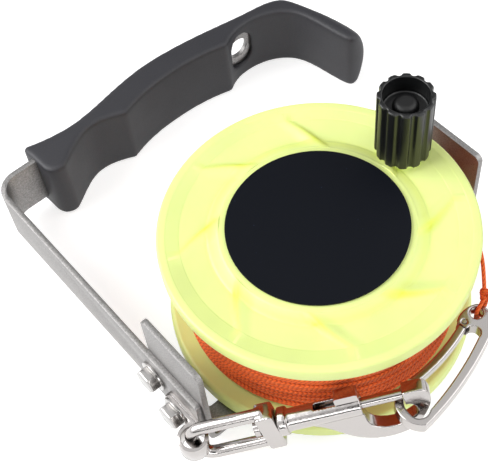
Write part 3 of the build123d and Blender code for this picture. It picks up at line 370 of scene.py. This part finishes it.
def make_knob_plastic():
    """Moulded ABS: black, with a soft gloss on its ribs and faint flow marks."""
    base = tuple(colours().knob)
    made, shader, place = new_material("moulded_abs", base, 0, 0.33, IOR=1.53)
    flow = noise(made, place, 6, 3, (1, 1, 3))
    vary(made, shader, flow.outputs["Fac"], base, 0.85, 1.2)
    roughen(made, shader, flow.outputs["Fac"], 0.27, 0.4)
    bump(made, shader, noise(made, place, 0.4).outputs["Fac"], 0.008)
    return made


def make_label_film():
    """Vinyl film with a satin laminate: blue-black, almost flat, with a few specks of dust."""
    base = tuple(colours().label)
    made, shader, place = new_material(
        "laminated_vinyl", base, 0, 0.5, **{"IOR": 1.45, "Specular IOR Level": 0.15}
    )
    specks = noise(made, place, 1.4, 1)
    ramp = vary(made, shader, specks.outputs["Fac"], base, 1.0, 9.0, (0.80, 0.86))
    ramp.color_ramp.interpolation = "EASE"
    bump(made, shader, noise(made, place, 5).outputs["Fac"], 0.02)
    return made


def make_sheet_steel():
    """Stainless sheet with a random satin from tumbling, rougher where it was handled."""
    base = tuple(colours().sheet)
    made, shader, place = new_material("satin_stainless", base, 1, 0.4)
    grain = noise(made, place, 0.6, 4)
    patches = noise(made, place, 14, 3)
    vary(made, shader, grain.outputs["Fac"], base, 0.7, 1.22)
    roughen(made, shader, patches.outputs["Fac"], 0.4, 0.56)
    bump(made, shader, grain.outputs["Fac"], 0.02)
    return made


def make_cast_steel():
    """Investment-cast stainless, barrel polished: bright, with soft ripples left from casting."""
    base = tuple(colours().cast)
    made, shader, place = new_material("polished_stainless", base, 1, 0.14)
    ripple = noise(made, place, 3.5, 2)
    roughen(made, shader, noise(made, place, 1.2, 3).outputs["Fac"], 0.1, 0.24)
    bump(made, shader, ripple.outputs["Fac"], 0.06)
    return made


def make_bolt_steel():
    """Turned stainless: fairly bright, with fine tool marks."""
    base = tuple(colours().screw)
    made, shader, place = new_material("turned_stainless", base, 1, 0.2)
    marks = noise(made, place, 0.35, 2)
    roughen(made, shader, marks.outputs["Fac"], 0.15, 0.26)
    bump(made, shader, marks.outputs["Fac"], 0.008)
    return made


def make_dark_bolt():
    """Steel painted near black as the shade deep in the knob's cup, with a dull sheen."""
    base = tuple(colours().dark_screw)
    made, shader, place = new_material("cup_shade_steel", base, 0.0, 0.45)
    marks = noise(made, place, 0.5, 2)
    roughen(made, shader, marks.outputs["Fac"], 0.38, 0.52)
    return made


def make_line():
    """Braided polyester line: orange-red, with rows of slanted stitches, shade painted in their
    grooves and highlight painted on their crowns, and a fibre sheen.
    """
    base = tuple(colours().line)
    made, shader, place = new_material(
        "braided_polyester", base, 0, 0.65,
        **{"IOR": 1.5, "Sheen Weight": 0.08, "Sheen Roughness": 0.5},
    )
    stitches = add_node(made, "ShaderNodeAttribute", attribute_name="stitch")
    turn = add_node(
        made, "ShaderNodeMath",
        {0: stitches.outputs["Fac"]}, {1: 2 * math.pi}, operation="MULTIPLY",
    )
    stitch = add_node(made, "ShaderNodeMath", {0: turn.outputs["Value"]}, operation="SINE")
    height = add_node(
        made, "ShaderNodeMapRange", {"Value": stitch.outputs["Value"]}, {"From Min": -1.0}
    )
    # Painted shade in the grooves between stitches and painted highlight on their crowns, from 0.68
    # to 1.3 times the base colour
    vary(made, shader, height.outputs["Result"], base, 0.68, 1.3, (0.05, 0.55))
    bump(made, shader, height.outputs["Result"], 0.15)
    return made


# The function that makes each finish, and the CAD material slot that it stands for
FINISHES = {
    "spool": (make_spool_plastic, "neon_plastic"),
    "grip": (make_grip_plastic, "black_grip"),
    "knob": (make_knob_plastic, "black_plastic"),
    "label": (make_label_film, "label_film"),
    "sheet": (make_sheet_steel, "satin_steel"),
    "cast": (make_cast_steel, "polished_steel"),
    "bolt": (make_bolt_steel, "bolt_steel"),
    "dark_bolt": (make_dark_bolt, "bolt_steel"),
    "line": (make_line, "orange_line"),
}
made_finishes = {}


def finish(name):
    """The material of this finish, made once."""
    if name not in made_finishes:
        made_finishes[name] = FINISHES[name][0]()
    return made_finishes[name]


def dress(finish_name, *nodes):
    """Gives CAD nodes this finish."""
    for name in nodes:
        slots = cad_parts[name].data.materials
        slots.clear()
        slots.append(finish(finish_name))


def clear_selection():
    """Leaves object mode with nothing selected."""
    if bpy.context.object and bpy.context.object.mode != "OBJECT":
        bpy.ops.object.mode_set(mode="OBJECT")
    bpy.ops.object.select_all(action="DESELECT")


def pick(obj):
    """Selects one object alone and makes it active."""
    clear_selection()
    obj.select_set(True)
    bpy.context.view_layer.objects.active = obj


def smooth(obj, angle):
    """Smooth shading up to this angle."""
    pick(obj)
    bpy.ops.object.shade_smooth_by_angle(angle=math.radians(angle))


def tidy(obj, gap):
    """Merges points closer than this gap and turns the faces outwards."""
    pick(obj)
    bpy.ops.object.mode_set(mode="EDIT")
    bpy.ops.mesh.select_all(action="SELECT")
    bpy.ops.mesh.remove_doubles(threshold=gap * MM)
    bpy.ops.mesh.normals_make_consistent(inside=False)
    bpy.ops.object.mode_set(mode="OBJECT")


def make_piece(obj, name, body, finish_name, *nodes):
    """Names a finished mesh, gives it its finish and body, and puts it in place of CAD nodes."""
    obj.name = name
    obj.data.name = name
    obj.data.materials.clear()
    obj.data.materials.append(finish(finish_name))
    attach(obj, body)
    if nodes:
        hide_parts(*nodes)
    return obj


def lathe(stations, segments, centre=(0, 0)):
    """A turned mesh: a circle extruded and scaled from station to station, in millimetres."""
    clear_selection()
    radius, height = stations[0]
    bpy.ops.mesh.primitive_circle_add(
        vertices=segments, radius=radius * MM,
        location=(centre[0] * MM, centre[1] * MM, height * MM),
    )
    obj = bpy.context.object
    bpy.ops.object.transform_apply(location=True, rotation=True, scale=True)
    bpy.ops.object.mode_set(mode="EDIT")
    bpy.ops.mesh.select_all(action="SELECT")
    for new_radius, new_height in stations[1:]:
        factor = new_radius / radius
        bpy.ops.mesh.extrude_edges_move(
            TRANSFORM_OT_translate={"value": (0, 0, (new_height - height) * MM)}
        )
        bpy.ops.transform.resize(
            value=(factor, factor, 1),
            center_override=(centre[0] * MM, centre[1] * MM, new_height * MM),
        )
        radius, height = new_radius, new_height
    bpy.ops.mesh.select_all(action="SELECT")
    bpy.ops.mesh.remove_doubles(threshold=MERGE * MM)
    bpy.ops.mesh.normals_make_consistent(inside=False)
    bpy.ops.object.mode_set(mode="OBJECT")
    return obj


def rounded(points):
    """Stations (radius, height) of a profile, with each corner rounded by the radius it states."""
    stations = []
    for i, (x, y, r) in enumerate(points):
        here = Vector((x, y))
        if not r:
            stations.append((x, y))
            continue
        before = Vector(points[i - 1][:2]) - here
        after = Vector(points[(i + 1) % len(points)][:2]) - here
        half = before.angle(after) / 2
        reach = r / math.tan(half)
        start, end = here + before.normalized() * reach, here + after.normalized() * reach
        inward = (before.normalized() + after.normalized()).normalized()
        middle = here + inward * r / math.sin(half)
        first, last = start - middle, end - middle
        for step in range(CORNER_STEPS + 1):
            turned = first.slerp(last, step / CORNER_STEPS)
            stations.append(tuple(middle + turned))
    return stations


def centre_line(points, order, resolution):
    """A curve object with one open NURBS spline through these control points, in millimetres."""
    clear_selection()
    bpy.ops.curve.primitive_nurbs_path_add()
    obj = bpy.context.object
    curve = obj.data
    curve.splines.clear()
    spline = curve.splines.new("NURBS")
    spline.points.add(len(points) - 1)
    for point, place in zip(spline.points, points):
        point.co = (place[0] * MM, place[1] * MM, place[2] * MM, 1)
    spline.order_u = order
    spline.use_endpoint_u = True
    spline.resolution_u = resolution
    curve.dimensions = "3D"
    curve.resolution_u = resolution
    return obj


def line_tube(points, diameter, resolution, order=4):
    """A braided tube along a spline, with its stitches as an attribute, and the spline's points."""
    obj = centre_line(points, order, resolution)
    bare = bpy.data.meshes.new_from_object(obj)
    path = [v.co.copy() for v in bare.vertices]
    obj.data.bevel_depth = diameter / 2 * MM
    obj.data.bevel_resolution = TUBE_ROUNDING
    obj.data.use_fill_caps = True
    pick(obj)
    bpy.ops.object.convert(target="MESH")
    mesh = obj.data
    sides = len(mesh.vertices) // len(path)
    along = [0.0]
    for before, after in zip(path, path[1:]):
        along.append(along[-1] + (after - before).length / MM)
    stitches = mesh.attributes.new("stitch", "FLOAT", "POINT")
    for i in range(len(mesh.vertices)):
        around = 2 * (i % sides) / sides
        slant = abs(around % 1 - 0.5) * 2
        place = along[min(i // sides, len(path) - 1)]
        stitches.data[i].value = place / STITCH + STITCH_SLANT * slant
    smooth(obj, LINE_SHADING)
    return obj, path


def copy_of(node):
    """A merged copy of a CAD node, to be finished by hand."""
    clear_selection()
    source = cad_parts[node]
    source.select_set(True)
    bpy.context.view_layer.objects.active = source
    bpy.ops.object.duplicate()
    obj = bpy.context.object
    for key in list(obj.keys()):
        del obj[key]
    obj.parent = None
    obj.matrix_world = Matrix.Identity(4)
    bpy.ops.mesh.customdata_custom_splitnormals_clear()
    tidy(obj, MERGE)
    return obj


def edged(node, body, finish_name, width):
    """A copy of a CAD node with its sharp edges broken, as tumbling leaves them."""
    obj = copy_of(node)
    bpy.ops.object.mode_set(mode="EDIT")
    bpy.ops.mesh.select_all(action="SELECT")
    bpy.ops.mesh.dissolve_limited(angle_limit=math.radians(FLAT_ANGLE))
    bpy.ops.object.mode_set(mode="OBJECT")
    bevel = obj.modifiers.new("edges", "BEVEL")
    bevel.width = width * MM
    bevel.segments = BEVEL_SEGMENTS
    bevel.limit_method = "ANGLE"
    bevel.angle_limit = math.radians(SHARP_ANGLE)
    bpy.ops.object.modifier_apply(modifier="edges")
    smooth(obj, EDGE_SHADING)
    return make_piece(obj, node + "_edged", body, finish_name, node)


def displace(obj, name, axis, height):
    """Moves the points of the vertex group with this name along an axis, by up to this height."""
    lift = obj.modifiers.new(name, "DISPLACE")
    lift.direction = axis
    lift.mid_level = 0
    lift.strength = height
    lift.vertex_group = name
    pick(obj)
    bpy.ops.object.modifier_apply(modifier=name)


def melt(obj, name, passes, group=""):
    """Smooths a mesh, or only the vertex group with this name, in this many passes."""
    flow = obj.modifiers.new(name, "SMOOTH")
    flow.factor = MELT
    flow.iterations = passes
    flow.vertex_group = group
    bpy.ops.object.modifier_apply(modifier=name)


def softened(node, body, finish_name, grain, passes, obj=None, shape=None, tip=None):
    """A copy of a CAD node whose faces flow into each other, as a casting's or moulding's do."""
    obj = obj or copy_of(node)
    remesh = obj.modifiers.new("skin", "REMESH")
    remesh.mode = "VOXEL"
    remesh.voxel_size = grain * MM
    bpy.ops.object.modifier_apply(modifier="skin")
    if shape:
        shape(obj)
    melt(obj, "melt", passes)
    if tip:
        group = obj.vertex_groups.new(name="tip")
        for vertex in obj.data.vertices:
            weight = tip(vertex.co / MM)
            if weight > 0:
                group.add([vertex.index], min(1, weight), "REPLACE")
        melt(obj, "tip", TIP_PASSES * passes, "tip")
    pick(obj)
    bpy.ops.object.shade_smooth()
    return make_piece(obj, node + "_soft", body, finish_name, node)


def join(*objects):
    """Joins meshes into the first one."""
    clear_selection()
    for obj in objects:
        obj.select_set(True)
    bpy.context.view_layer.objects.active = objects[0]
    bpy.ops.object.join()
    return objects[0]


def polar(radius, angle, height):
    """A point at this radius and angle, in degrees, about the spool's axis."""
    turned = math.radians(angle)
    return Vector((radius * math.cos(turned), radius * math.sin(turned), height))


def seen_rays(owner):
    """One for camera, mirrored and refracted rays, and zero for the light on the pieces."""
    rays = add_node(owner, "ShaderNodeLightPath")
    both = add_node(
        owner, "ShaderNodeMath",
        {0: rays.outputs["Is Camera Ray"], 1: rays.outputs["Is Glossy Ray"]}, operation="ADD",
    )
    total = add_node(
        owner, "ShaderNodeMath",
        {0: both.outputs["Value"], 1: rays.outputs["Is Transmission Ray"]},
        operation="ADD", use_clamp=True,
    )
    return total.outputs["Value"]


def add_floor():
    """A pale floor that looks white in the picture and lights the reel only a little."""
    clear_selection()
    bpy.ops.mesh.primitive_plane_add(size=FLOOR_SIZE, location=(0, 0, -FLOOR_DROP))
    floor = bpy.context.object
    floor.name = "floor"
    made = bpy.data.materials.new("pale_floor")
    made.use_nodes = True
    tree = made.node_tree
    shader = tree.nodes["Principled BSDF"]
    shader.inputs["Base Color"].default_value = (0.62, 0.62, 0.62, 1)
    shader.inputs["Roughness"].default_value = 0.9
    shader.inputs["Specular IOR Level"].default_value = 0.0
    glow = add_node(
        made, "ShaderNodeEmission", {"Strength": seen_rays(made)}, {"Color": (0.7, 0.7, 0.7, 1)}
    )
    both = add_node(
        made, "ShaderNodeAddShader", {0: shader.outputs["BSDF"], 1: glow.outputs["Emission"]}
    )
    tree.links.new(both.outputs["Shader"], tree.nodes["Material Output"].inputs["Surface"])
    floor.data.materials.append(made)


def add_world():
    """A white sky that lights the reel with less than what the camera sees of it."""
    world = bpy.data.worlds.new("studio")
    bpy.context.scene.world = world
    world.use_nodes = True
    sky = world.node_tree.nodes["Background"]
    level = add_node(world, "ShaderNodeMapRange", {"Value": seen_rays(world)}, {"To Min": 0.42})
    world.node_tree.links.new(level.outputs["Result"], sky.inputs["Strength"])
    sky.inputs["Color"].default_value = (1, 1, 1, 1)


def add_lamps():
    """Three square lamps that point at the reel."""
    for name, place, width, watts in LAMPS:
        clear_selection()
        bpy.ops.object.light_add(type="AREA", location=place)
        lamp = bpy.context.object
        lamp.name = name
        lamp.data.size = width
        lamp.data.energy = watts
        lamp.rotation_mode = "QUATERNION"
        lamp.rotation_quaternion = (LAMP_TARGET - Vector(place)).to_track_quat("-Z", "Y")


def add_cards():
    """Dark cards that give the steel its dark streaks, as in a studio, and that no camera sees."""
    made = bpy.data.materials.new("black_felt_card")
    made.use_nodes = True
    tree = made.node_tree
    shader = tree.nodes["Principled BSDF"]
    shader.inputs["Base Color"].default_value = (0.02, 0.02, 0.02, 1)
    shader.inputs["Roughness"].default_value = 1.0
    rays = add_node(made, "ShaderNodeLightPath")
    clear = add_node(made, "ShaderNodeBsdfTransparent")
    mixed = add_node(
        made, "ShaderNodeMixShader",
        {0: rays.outputs["Is Camera Ray"], 1: shader.outputs["BSDF"], 2: clear.outputs["BSDF"]},
    )
    tree.links.new(mixed.outputs["Shader"], tree.nodes["Material Output"].inputs["Surface"])
    for name, away, distance, sides in CARDS:
        clear_selection()
        bpy.ops.mesh.primitive_plane_add(size=1)
        card = bpy.context.object
        card.name = name
        away = Vector(away).normalized()
        card.matrix_world = (
            Matrix.Translation(away * distance)
            @ away.to_track_quat("Z", "Y").to_matrix().to_4x4()
            @ Matrix.Diagonal((*sides, 1, 1))
        )
        card.data.materials.append(made)


def add_camera():
    """The camera of the photograph."""
    clear_selection()
    bpy.ops.object.camera_add()
    camera = bpy.context.object
    camera.name = "camera"
    camera.data.lens = CAMERA_LENS
    camera.data.clip_start = CAMERA_NEAR
    turned = Matrix((CAMERA_RIGHT, CAMERA_UP, -CAMERA_FORWARD)).transposed().to_4x4()
    camera.matrix_world = Matrix.Translation(CAMERA_PLACE) @ turned
    bpy.context.scene.camera = camera
    bpy.context.scene.view_settings.view_transform = "Standard"


class REEL_OT_stage(bpy.types.Operator):
    """Adds the floor, the sky, the lamps, the dark cards and the camera"""

    bl_idname = "reel.stage"
    bl_label = "Stage"

    def execute(self, context):
        add_floor()
        add_world()
        add_lamps()
        add_cards()
        add_camera()
        return {"FINISHED"}


class REEL_OT_plain(bpy.types.Operator):
    """Gives the pieces that keep their CAD shape their finishes"""

    bl_idname = "reel.plain"
    bl_label = "Plain pieces"

    def execute(self, context):
        dress("sheet", "stop_lever", "click_spring")
        dress("bolt", "axle_pin", "axle_washer", "axle_nut", "knob_nut", "spool_screws")
        dress("bolt", "lever_pivot", "lever_washer", "click_rivet", "gate_pin")
        # The knob's bolt and washer are painted near black as the shade in the knob's cup
        dress("dark_bolt", "knob_bolt", "knob_washer")
        dress("cast", "swivel_rivet", "snap_bolt")
        dress("knob", "ratchet_lugs", "hub_bush")
        dress("spool", "lower_flange")
        dress("label", "label_disc")
        return {"FINISHED"}


class REEL_OT_sheet(bpy.types.Operator):
    """Breaks the edges of the bracket, the bar, the folded loop and their bolts"""

    bl_idname = "reel.sheet"
    bl_label = "Sheet steel and bolts"

    def execute(self, context):
        edge = sizes().sheet_edge / MM
        for node in ("base_bracket", "handle_bar"):
            edged(node, "frame", "sheet", edge)
        edged("strap_loop", "frame", "cast", edge)
        edged("frame_bolts", "frame", "bolt", BOLT_EDGE)
        edged("frame_washers", "frame", "bolt", WASHER_EDGE)
        edged("frame_nuts", "frame", "bolt", NUT_EDGE)
        return {"FINISHED"}


class REEL_OT_snap(bpy.types.Operator):
    """Rounds the cast bolt snap, the second hook and its gate"""

    bl_idname = "reel.snap"
    bl_label = "Snap and hook"

    def execute(self, context):
        grain = sizes().cast_grain / MM
        for node, body, passes in CAST_PIECES:
            softened(node, body, "cast", grain, passes)
        return {"FINISHED"}


class REEL_OT_knob(bpy.types.Operator):
    """Rounds the flutes and the rim of the winding knob"""

    bl_idname = "reel.knob"
    bl_label = "Knob"

    def execute(self, context):
        softened("knob", "knob", "knob", KNOB_GRAIN, KNOB_PASSES)
        return {"FINISHED"}


def crown_tip(obj):
    """Crowns the outer side of the grip's hooked end, whose end face shows in the photograph."""
    group = obj.vertex_groups.new(name="crown")
    for vertex in obj.data.vertices:
        x, y, z = vertex.co / MM
        if x < HOOK_START_X or y > HOOK_ROOT_Y:
            continue
        if y < END_Y:
            side = (x - END_X) / END_DEPTH
        else:
            side = vertex.normal.x * SIDE_X + vertex.normal.y * SIDE_Y
        across = 1 - ((z - GRIP_MIDDLE) / GRIP_MIDDLE) ** 2
        weight = side * across * min(1, (HOOK_ROOT_Y - y) / HOOK_FADE)
        if weight > 0:
            group.add([vertex.index], min(1, weight), "REPLACE")
    displace(obj, "crown", "X", CROWN * MM)


def tip_weight(place):
    """How much a point of the grip is smoothed again, which grows towards its hooked end."""
    return TIP_SHARE * (place.x - TIP_X) / TIP_RUN


class REEL_OT_grip(bpy.types.Operator):
    """Rounds the moulded grip"""

    bl_idname = "reel.grip"
    bl_label = "Grip"

    def execute(self, context):
        softened(
            "grip", "frame", "grip", sizes().grip_grain / MM, GRIP_PASSES,
            shape=crown_tip, tip=tip_weight,
        )
        return {"FINISHED"}


class REEL_OT_pad(bpy.types.Operator):
    """Slopes the thumb pad's outer end and rounds the pad"""

    bl_idname = "reel.pad"
    bl_label = "Thumb pad"

    def execute(self, context):
        obj = copy_of("lever_pad")
        pivot = polar(PIVOT_RADIUS, PIVOT_ANGLE, 0)
        run = (PAD_MIDDLE - pivot).normalized()
        bpy.ops.object.mode_set(mode="EDIT")
        bpy.ops.mesh.select_all(action="SELECT")
        bpy.ops.mesh.bisect(
            plane_co=(pivot + run * CUT_REACH + Vector((0, 0, CUT_HEIGHT))) * MM,
            plane_no=run * CUT_ALONG + Vector((0, 0, CUT_UP)), use_fill=True, clear_outer=True,
        )
        bpy.ops.object.mode_set(mode="OBJECT")
        softened("lever_pad", "lever", "knob", PAD_GRAIN, PAD_PASSES, obj=obj)
        return {"FINISHED"}


def spread_out(stations, step, low, high):
    """The same profile with more stations where its radius lies between these two."""
    more = [stations[0]]
    for (r0, z0), (r1, z1) in zip(stations, stations[1:]):
        count = 1
        if low < min(r0, r1) and max(r0, r1) < high:
            count = max(1, math.ceil(math.hypot(r1 - r0, z1 - z0) / step))
        for i in range(1, count + 1):
            more.append((r0 + (r1 - r0) * i / count, z0 + (z1 - z0) * i / count))
    return more


def raise_vanes(obj, height):
    """Raises eight swept vanes on the tray, steep on one side and soft on the other, and paints
    shade into the creases beside them and at the feet of the disc and the lip.
    """
    group = obj.vertex_groups.new(name="vanes")
    crease_shades = [0.0] * len(obj.data.vertices)
    pitch = 2 * math.pi / VANE_COUNT
    for vertex in obj.data.vertices:
        x, y, z = vertex.co / MM
        radius = math.hypot(x, y)
        if not TRAY_INNER < radius < TRAY_OUTER or z < TRAY_SEARCH:
            continue
        out = min(1, (radius - VANE_FOOT) / VANE_RUN)
        swept = (1 + VANE_BOW) * out - VANE_BOW * out * out
        crest = math.radians(VANE_SWEEP * swept - VANE_LEAD)
        away = radius * ((math.atan2(y, x) - crest + pitch / 2) % pitch - pitch / 2)
        wide = VANE_WIDTH - VANE_TAPER * out
        reach = wide * (SOFT_SIDE if away > 0 else STEEP_SIDE)
        flush = min(1, max(0, FACE - z) / FLUSH_DEPTH)
        if abs(away) < reach:
            weight = 0.5 + 0.5 * math.cos(math.pi * away / reach)
            group.add([vertex.index], weight * (1 - VANE_DROP * out) * flush, "REPLACE")
        # Painted shade beside each vane's steep side, at the disc's foot and at the lip's foot
        vane_crease = math.exp(-((away + RIDGE_SHIFT * wide) / (RIDGE_SPREAD * wide)) ** 2)
        disc = DISC_SHADE * math.exp(-((radius - DISC_FOOT) / FOOT_SPREAD) ** 2)
        rim = LIP_SHADE * math.exp(-((radius - LIP_FOOT) / FOOT_SPREAD) ** 2)
        crease_shades[vertex.index] = min(1, vane_crease * (1 - RIDGE_DROP * out) + disc + rim) * flush
    # The painted shade attribute comes after the group's weights, which move the mesh's other
    # layers
    crease_shade = obj.data.attributes.new("crease_shade", "FLOAT", "POINT")
    crease_shade.data.foreach_set("value", crease_shades)
    displace(obj, "vanes", "Z", height * MM)


class REEL_OT_flange(bpy.types.Operator):
    """Turns the upper flange, raises its vanes and adds the knob's boss"""

    bl_idname = "reel.flange"
    bl_label = "Upper flange"

    def execute(self, context):
        lip = sizes().lip_round / MM
        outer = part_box("upper_flange")[1].x / MM
        profile = rounded([
            (NEARLY_ZERO, UNDERSIDE, 0), (58.0, UNDERSIDE, 0.5), (58.6, SKIRT, 0.5),
            (outer, SKIRT, 1.6), (outer, FACE, lip), (59.2, FACE, 1.8), (55.4, TRAY, 4.0),
            (42.6, TRAY, 2.6), (38.9, FACE, 1.4), (NEARLY_ZERO, FACE, 0),
        ])
        flange = lathe(spread_out(profile, TRAY_STEP, VANE_FOOT, TRAY_OUTER), FLANGE_SEGMENTS)
        tidy(flange, FLANGE_MERGE)
        raise_vanes(flange, sizes().vane / MM)
        smooth(flange, FLANGE_SHADING)
        boss = lathe(rounded([
            (NEARLY_ZERO, 56.0, 0), (9.6, 56.0, 0), (8.6, 58.6, 0.8), (8.5, 62.0, 0.7),
            (NEARLY_ZERO, 62.0, 0),
        ]), BOSS_SEGMENTS, centre=(
            KNOB_RADIUS * math.cos(math.radians(KNOB_ANGLE)),
            KNOB_RADIUS * math.sin(math.radians(KNOB_ANGLE)),
        ))
        tidy(boss, FLANGE_MERGE)
        smooth(boss, EDGE_SHADING)
        make_piece(join(flange, boss), "upper_flange_vaned", "spool", "spool", "upper_flange")
        return {"FINISHED"}


class REEL_OT_line(bpy.types.Operator):
    """Winds the line on the drum in two layers"""

    bl_idname = "reel.line"
    bl_label = "Wound line"

    def execute(self, context):
        low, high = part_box("line_core")
        turns = sizes().turns
        diameter = sizes().line / MM
        bottom, top = low.z / MM + diameter / 2, high.z / MM - diameter / 2
        layers = []
        for radius, offset, seed in LAYERS:
            points = []
            for i in range(turns * TURN_STEPS + 1):
                share = (i / TURN_STEPS + offset) / (turns + 0.5)
                angle = math.radians(LINE_START) + 2 * math.pi * i / TURN_STEPS
                # Slow and quick waves stray by up to 0.75 mm in height and 0.34 mm in radius
                wander = (0.45 * math.sin(angle * 0.37 + seed)
                          + 0.3 * math.sin(angle * 1.9 + 2 * seed))
                reach = (radius + 0.22 * math.sin(angle * 0.61 + seed)
                         + 0.12 * math.sin(angle * 2.3))
                height = min(max(bottom + (top - bottom) * share + wander, bottom), top)
                points.append((reach * math.cos(angle), reach * math.sin(angle), height))
            layers.append(line_tube(points, diameter, resolution=2)[0])
        make_piece(join(*layers), "wound_line", "spool", "line", "line_winding", "line_core")
        return {"FINISHED"}


# The second hook's frame, as in the CAD
BOW = Vector((-18.306, -65.402, 31.498))
HOOK_ALONG = polar(1, 8.6, 0)
HOOK_ACROSS = Vector((-HOOK_ALONG.y, HOOK_ALONG.x, 0))


def on_hook(x, y, z):
    """A point in the second hook's frame, in millimetres."""
    return BOW + HOOK_ALONG * x + HOOK_ACROSS * y + Vector((0, 0, z))


def knot_loop():
    """The loop through the hook's eye."""
    return line_tube([
        on_hook(*place) for place in (
            (54.6, 0.5, 5.2), (53.2, -0.2, 5.3), (50.6, -0.6, 5.3), (48.5, -0.7, 3.8),
            (48.2, -0.72, 0.0), (48.6, -0.7, -3.4), (50.8, -0.5, -4.9), (54.0, -0.3, -4.2),
            (56.1, -0.2, -1.2), (56.4, -0.1, 2.0), (55.6, 0.1, 4.6), (54.8, 0.6, 6.4),
        )
    ], LEAD_DIAMETER, resolution=6)[0]


def knot_wraps(end, rise, side, other):
    """The wraps of line round the lead's end."""
    wraps = []
    for i in range(WRAPS * WRAP_STEPS + 1):
        angle = 2 * math.pi * i / WRAP_STEPS
        along = WRAP_START + WRAP_CLIMB * i / (WRAPS * WRAP_STEPS) + 0.1 * math.sin(3 * angle)
        reach = WRAP_REACH + 0.12 * math.sin(1.7 * angle)
        around = side * math.cos(angle) + other * math.sin(angle)
        wraps.append(end + rise * along + around * reach)
    return line_tube(wraps, WRAP_DIAMETER, resolution=4)[0]


def knot_tail(end, rise, side, other):
    """The cut end beside the knot, with its fibres spread."""
    tail_end = end + rise * 1.6 + side * 2.6 + other * 1.2
    tail = [end + rise * 2.6, end + rise * 2.3 + side * 1.4 + other * 0.4, tail_end]
    pieces = [line_tube(tail, TAIL_DIAMETER, order=3, resolution=6)[0]]
    for i in range(FIBRES):
        # Near the golden angle, so that no two fibres line up
        angle = 2.4 * i
        spread = (side * (0.9 + 0.3 * math.sin(5.1 * i)) + other * math.cos(angle) * 0.9
                  + rise * math.sin(angle) * 0.9)
        fibre = [
            tail_end - side * 0.4, tail_end + spread * 0.8,
            tail_end + spread * (1.5 + 0.3 * math.sin(i)),
        ]
        pieces.append(line_tube(fibre, FIBRE_DIAMETER, order=3, resolution=3)[0])
    return pieces


class REEL_OT_lead(bpy.types.Operator):
    """Lays the line's lead from the winding to the knot on the second hook"""

    bl_idname = "reel.lead"
    bl_label = "Lead and knot"

    def execute(self, context):
        diameter = LEAD_DIAMETER
        eye = on_hook(48.25, -0.72, 0)
        route = [
            eye + Vector((7.3, 3.5, 8.5)), eye + Vector((8.6, 5.5, 12.6)),
            polar(64.17, -49.2, 47.9), polar(62.2, -41.5, 49.6), polar(60.51, -31.5, 49.9),
            polar(59.18, -20.6, 49.6), polar(58.5, -10.0, 49.4),
        ]
        lead, path = line_tube(route, diameter, order=3, resolution=8)
        end, rise = route[0], (route[0] - route[1]).normalized()
        side = rise.cross(Vector((1, 0, 0))).normalized()
        ways = (end, rise, side, rise.cross(side))
        pieces = [knot_loop(), knot_wraps(*ways), *knot_tail(*ways)]
        knot = make_piece(join(*pieces), "end_knot", "hook", "line", "line_knot")
        make_piece(lead, "lead", "frame", "line", "line_lead")
        return {"FINISHED"}


class REEL_PT_panel(bpy.types.Panel):
    """Lists the reel's sizes, colours and pieces"""

    bl_idname = "REEL_PT_panel"
    bl_label = "Dive reel"
    bl_space_type = "VIEW_3D"
    bl_region_type = "UI"
    bl_category = "Dive reel"

    def draw(self, context):
        layout = self.layout
        for group in (context.scene.reel_sizes, context.scene.reel_colours):
            box = layout.box()
            for name in group.__annotations__:
                box.prop(group, name)
        for operator in OPERATORS:
            layout.operator(operator.bl_idname)


OPERATORS = (
    REEL_OT_stage, REEL_OT_plain, REEL_OT_lead, REEL_OT_line, REEL_OT_flange,
    REEL_OT_sheet, REEL_OT_snap, REEL_OT_knob, REEL_OT_grip, REEL_OT_pad,
)
CLASSES = (ReelColours, ReelSizes, *OPERATORS, REEL_PT_panel)


def register():
    """Registers the classes and their settings."""
    for made in CLASSES:
        bpy.utils.register_class(made)
    bpy.types.Scene.reel_colours = bpy.props.PointerProperty(type=ReelColours)
    bpy.types.Scene.reel_sizes = bpy.props.PointerProperty(type=ReelSizes)


def unregister():
    """Takes the classes and their settings away."""
    del bpy.types.Scene.reel_sizes
    del bpy.types.Scene.reel_colours
    for made in reversed(CLASSES):
        bpy.utils.unregister_class(made)


def main():
    """Builds the whole reel."""
    register()
    bpy.ops.reel.stage()
    bpy.ops.reel.plain()
    bpy.ops.reel.lead()
    bpy.ops.reel.line()
    bpy.ops.reel.flange()
    bpy.ops.reel.sheet()
    bpy.ops.reel.snap()
    bpy.ops.reel.knob()
    bpy.ops.reel.grip()
    bpy.ops.reel.pad()


if __name__ == "__main__":
    main()
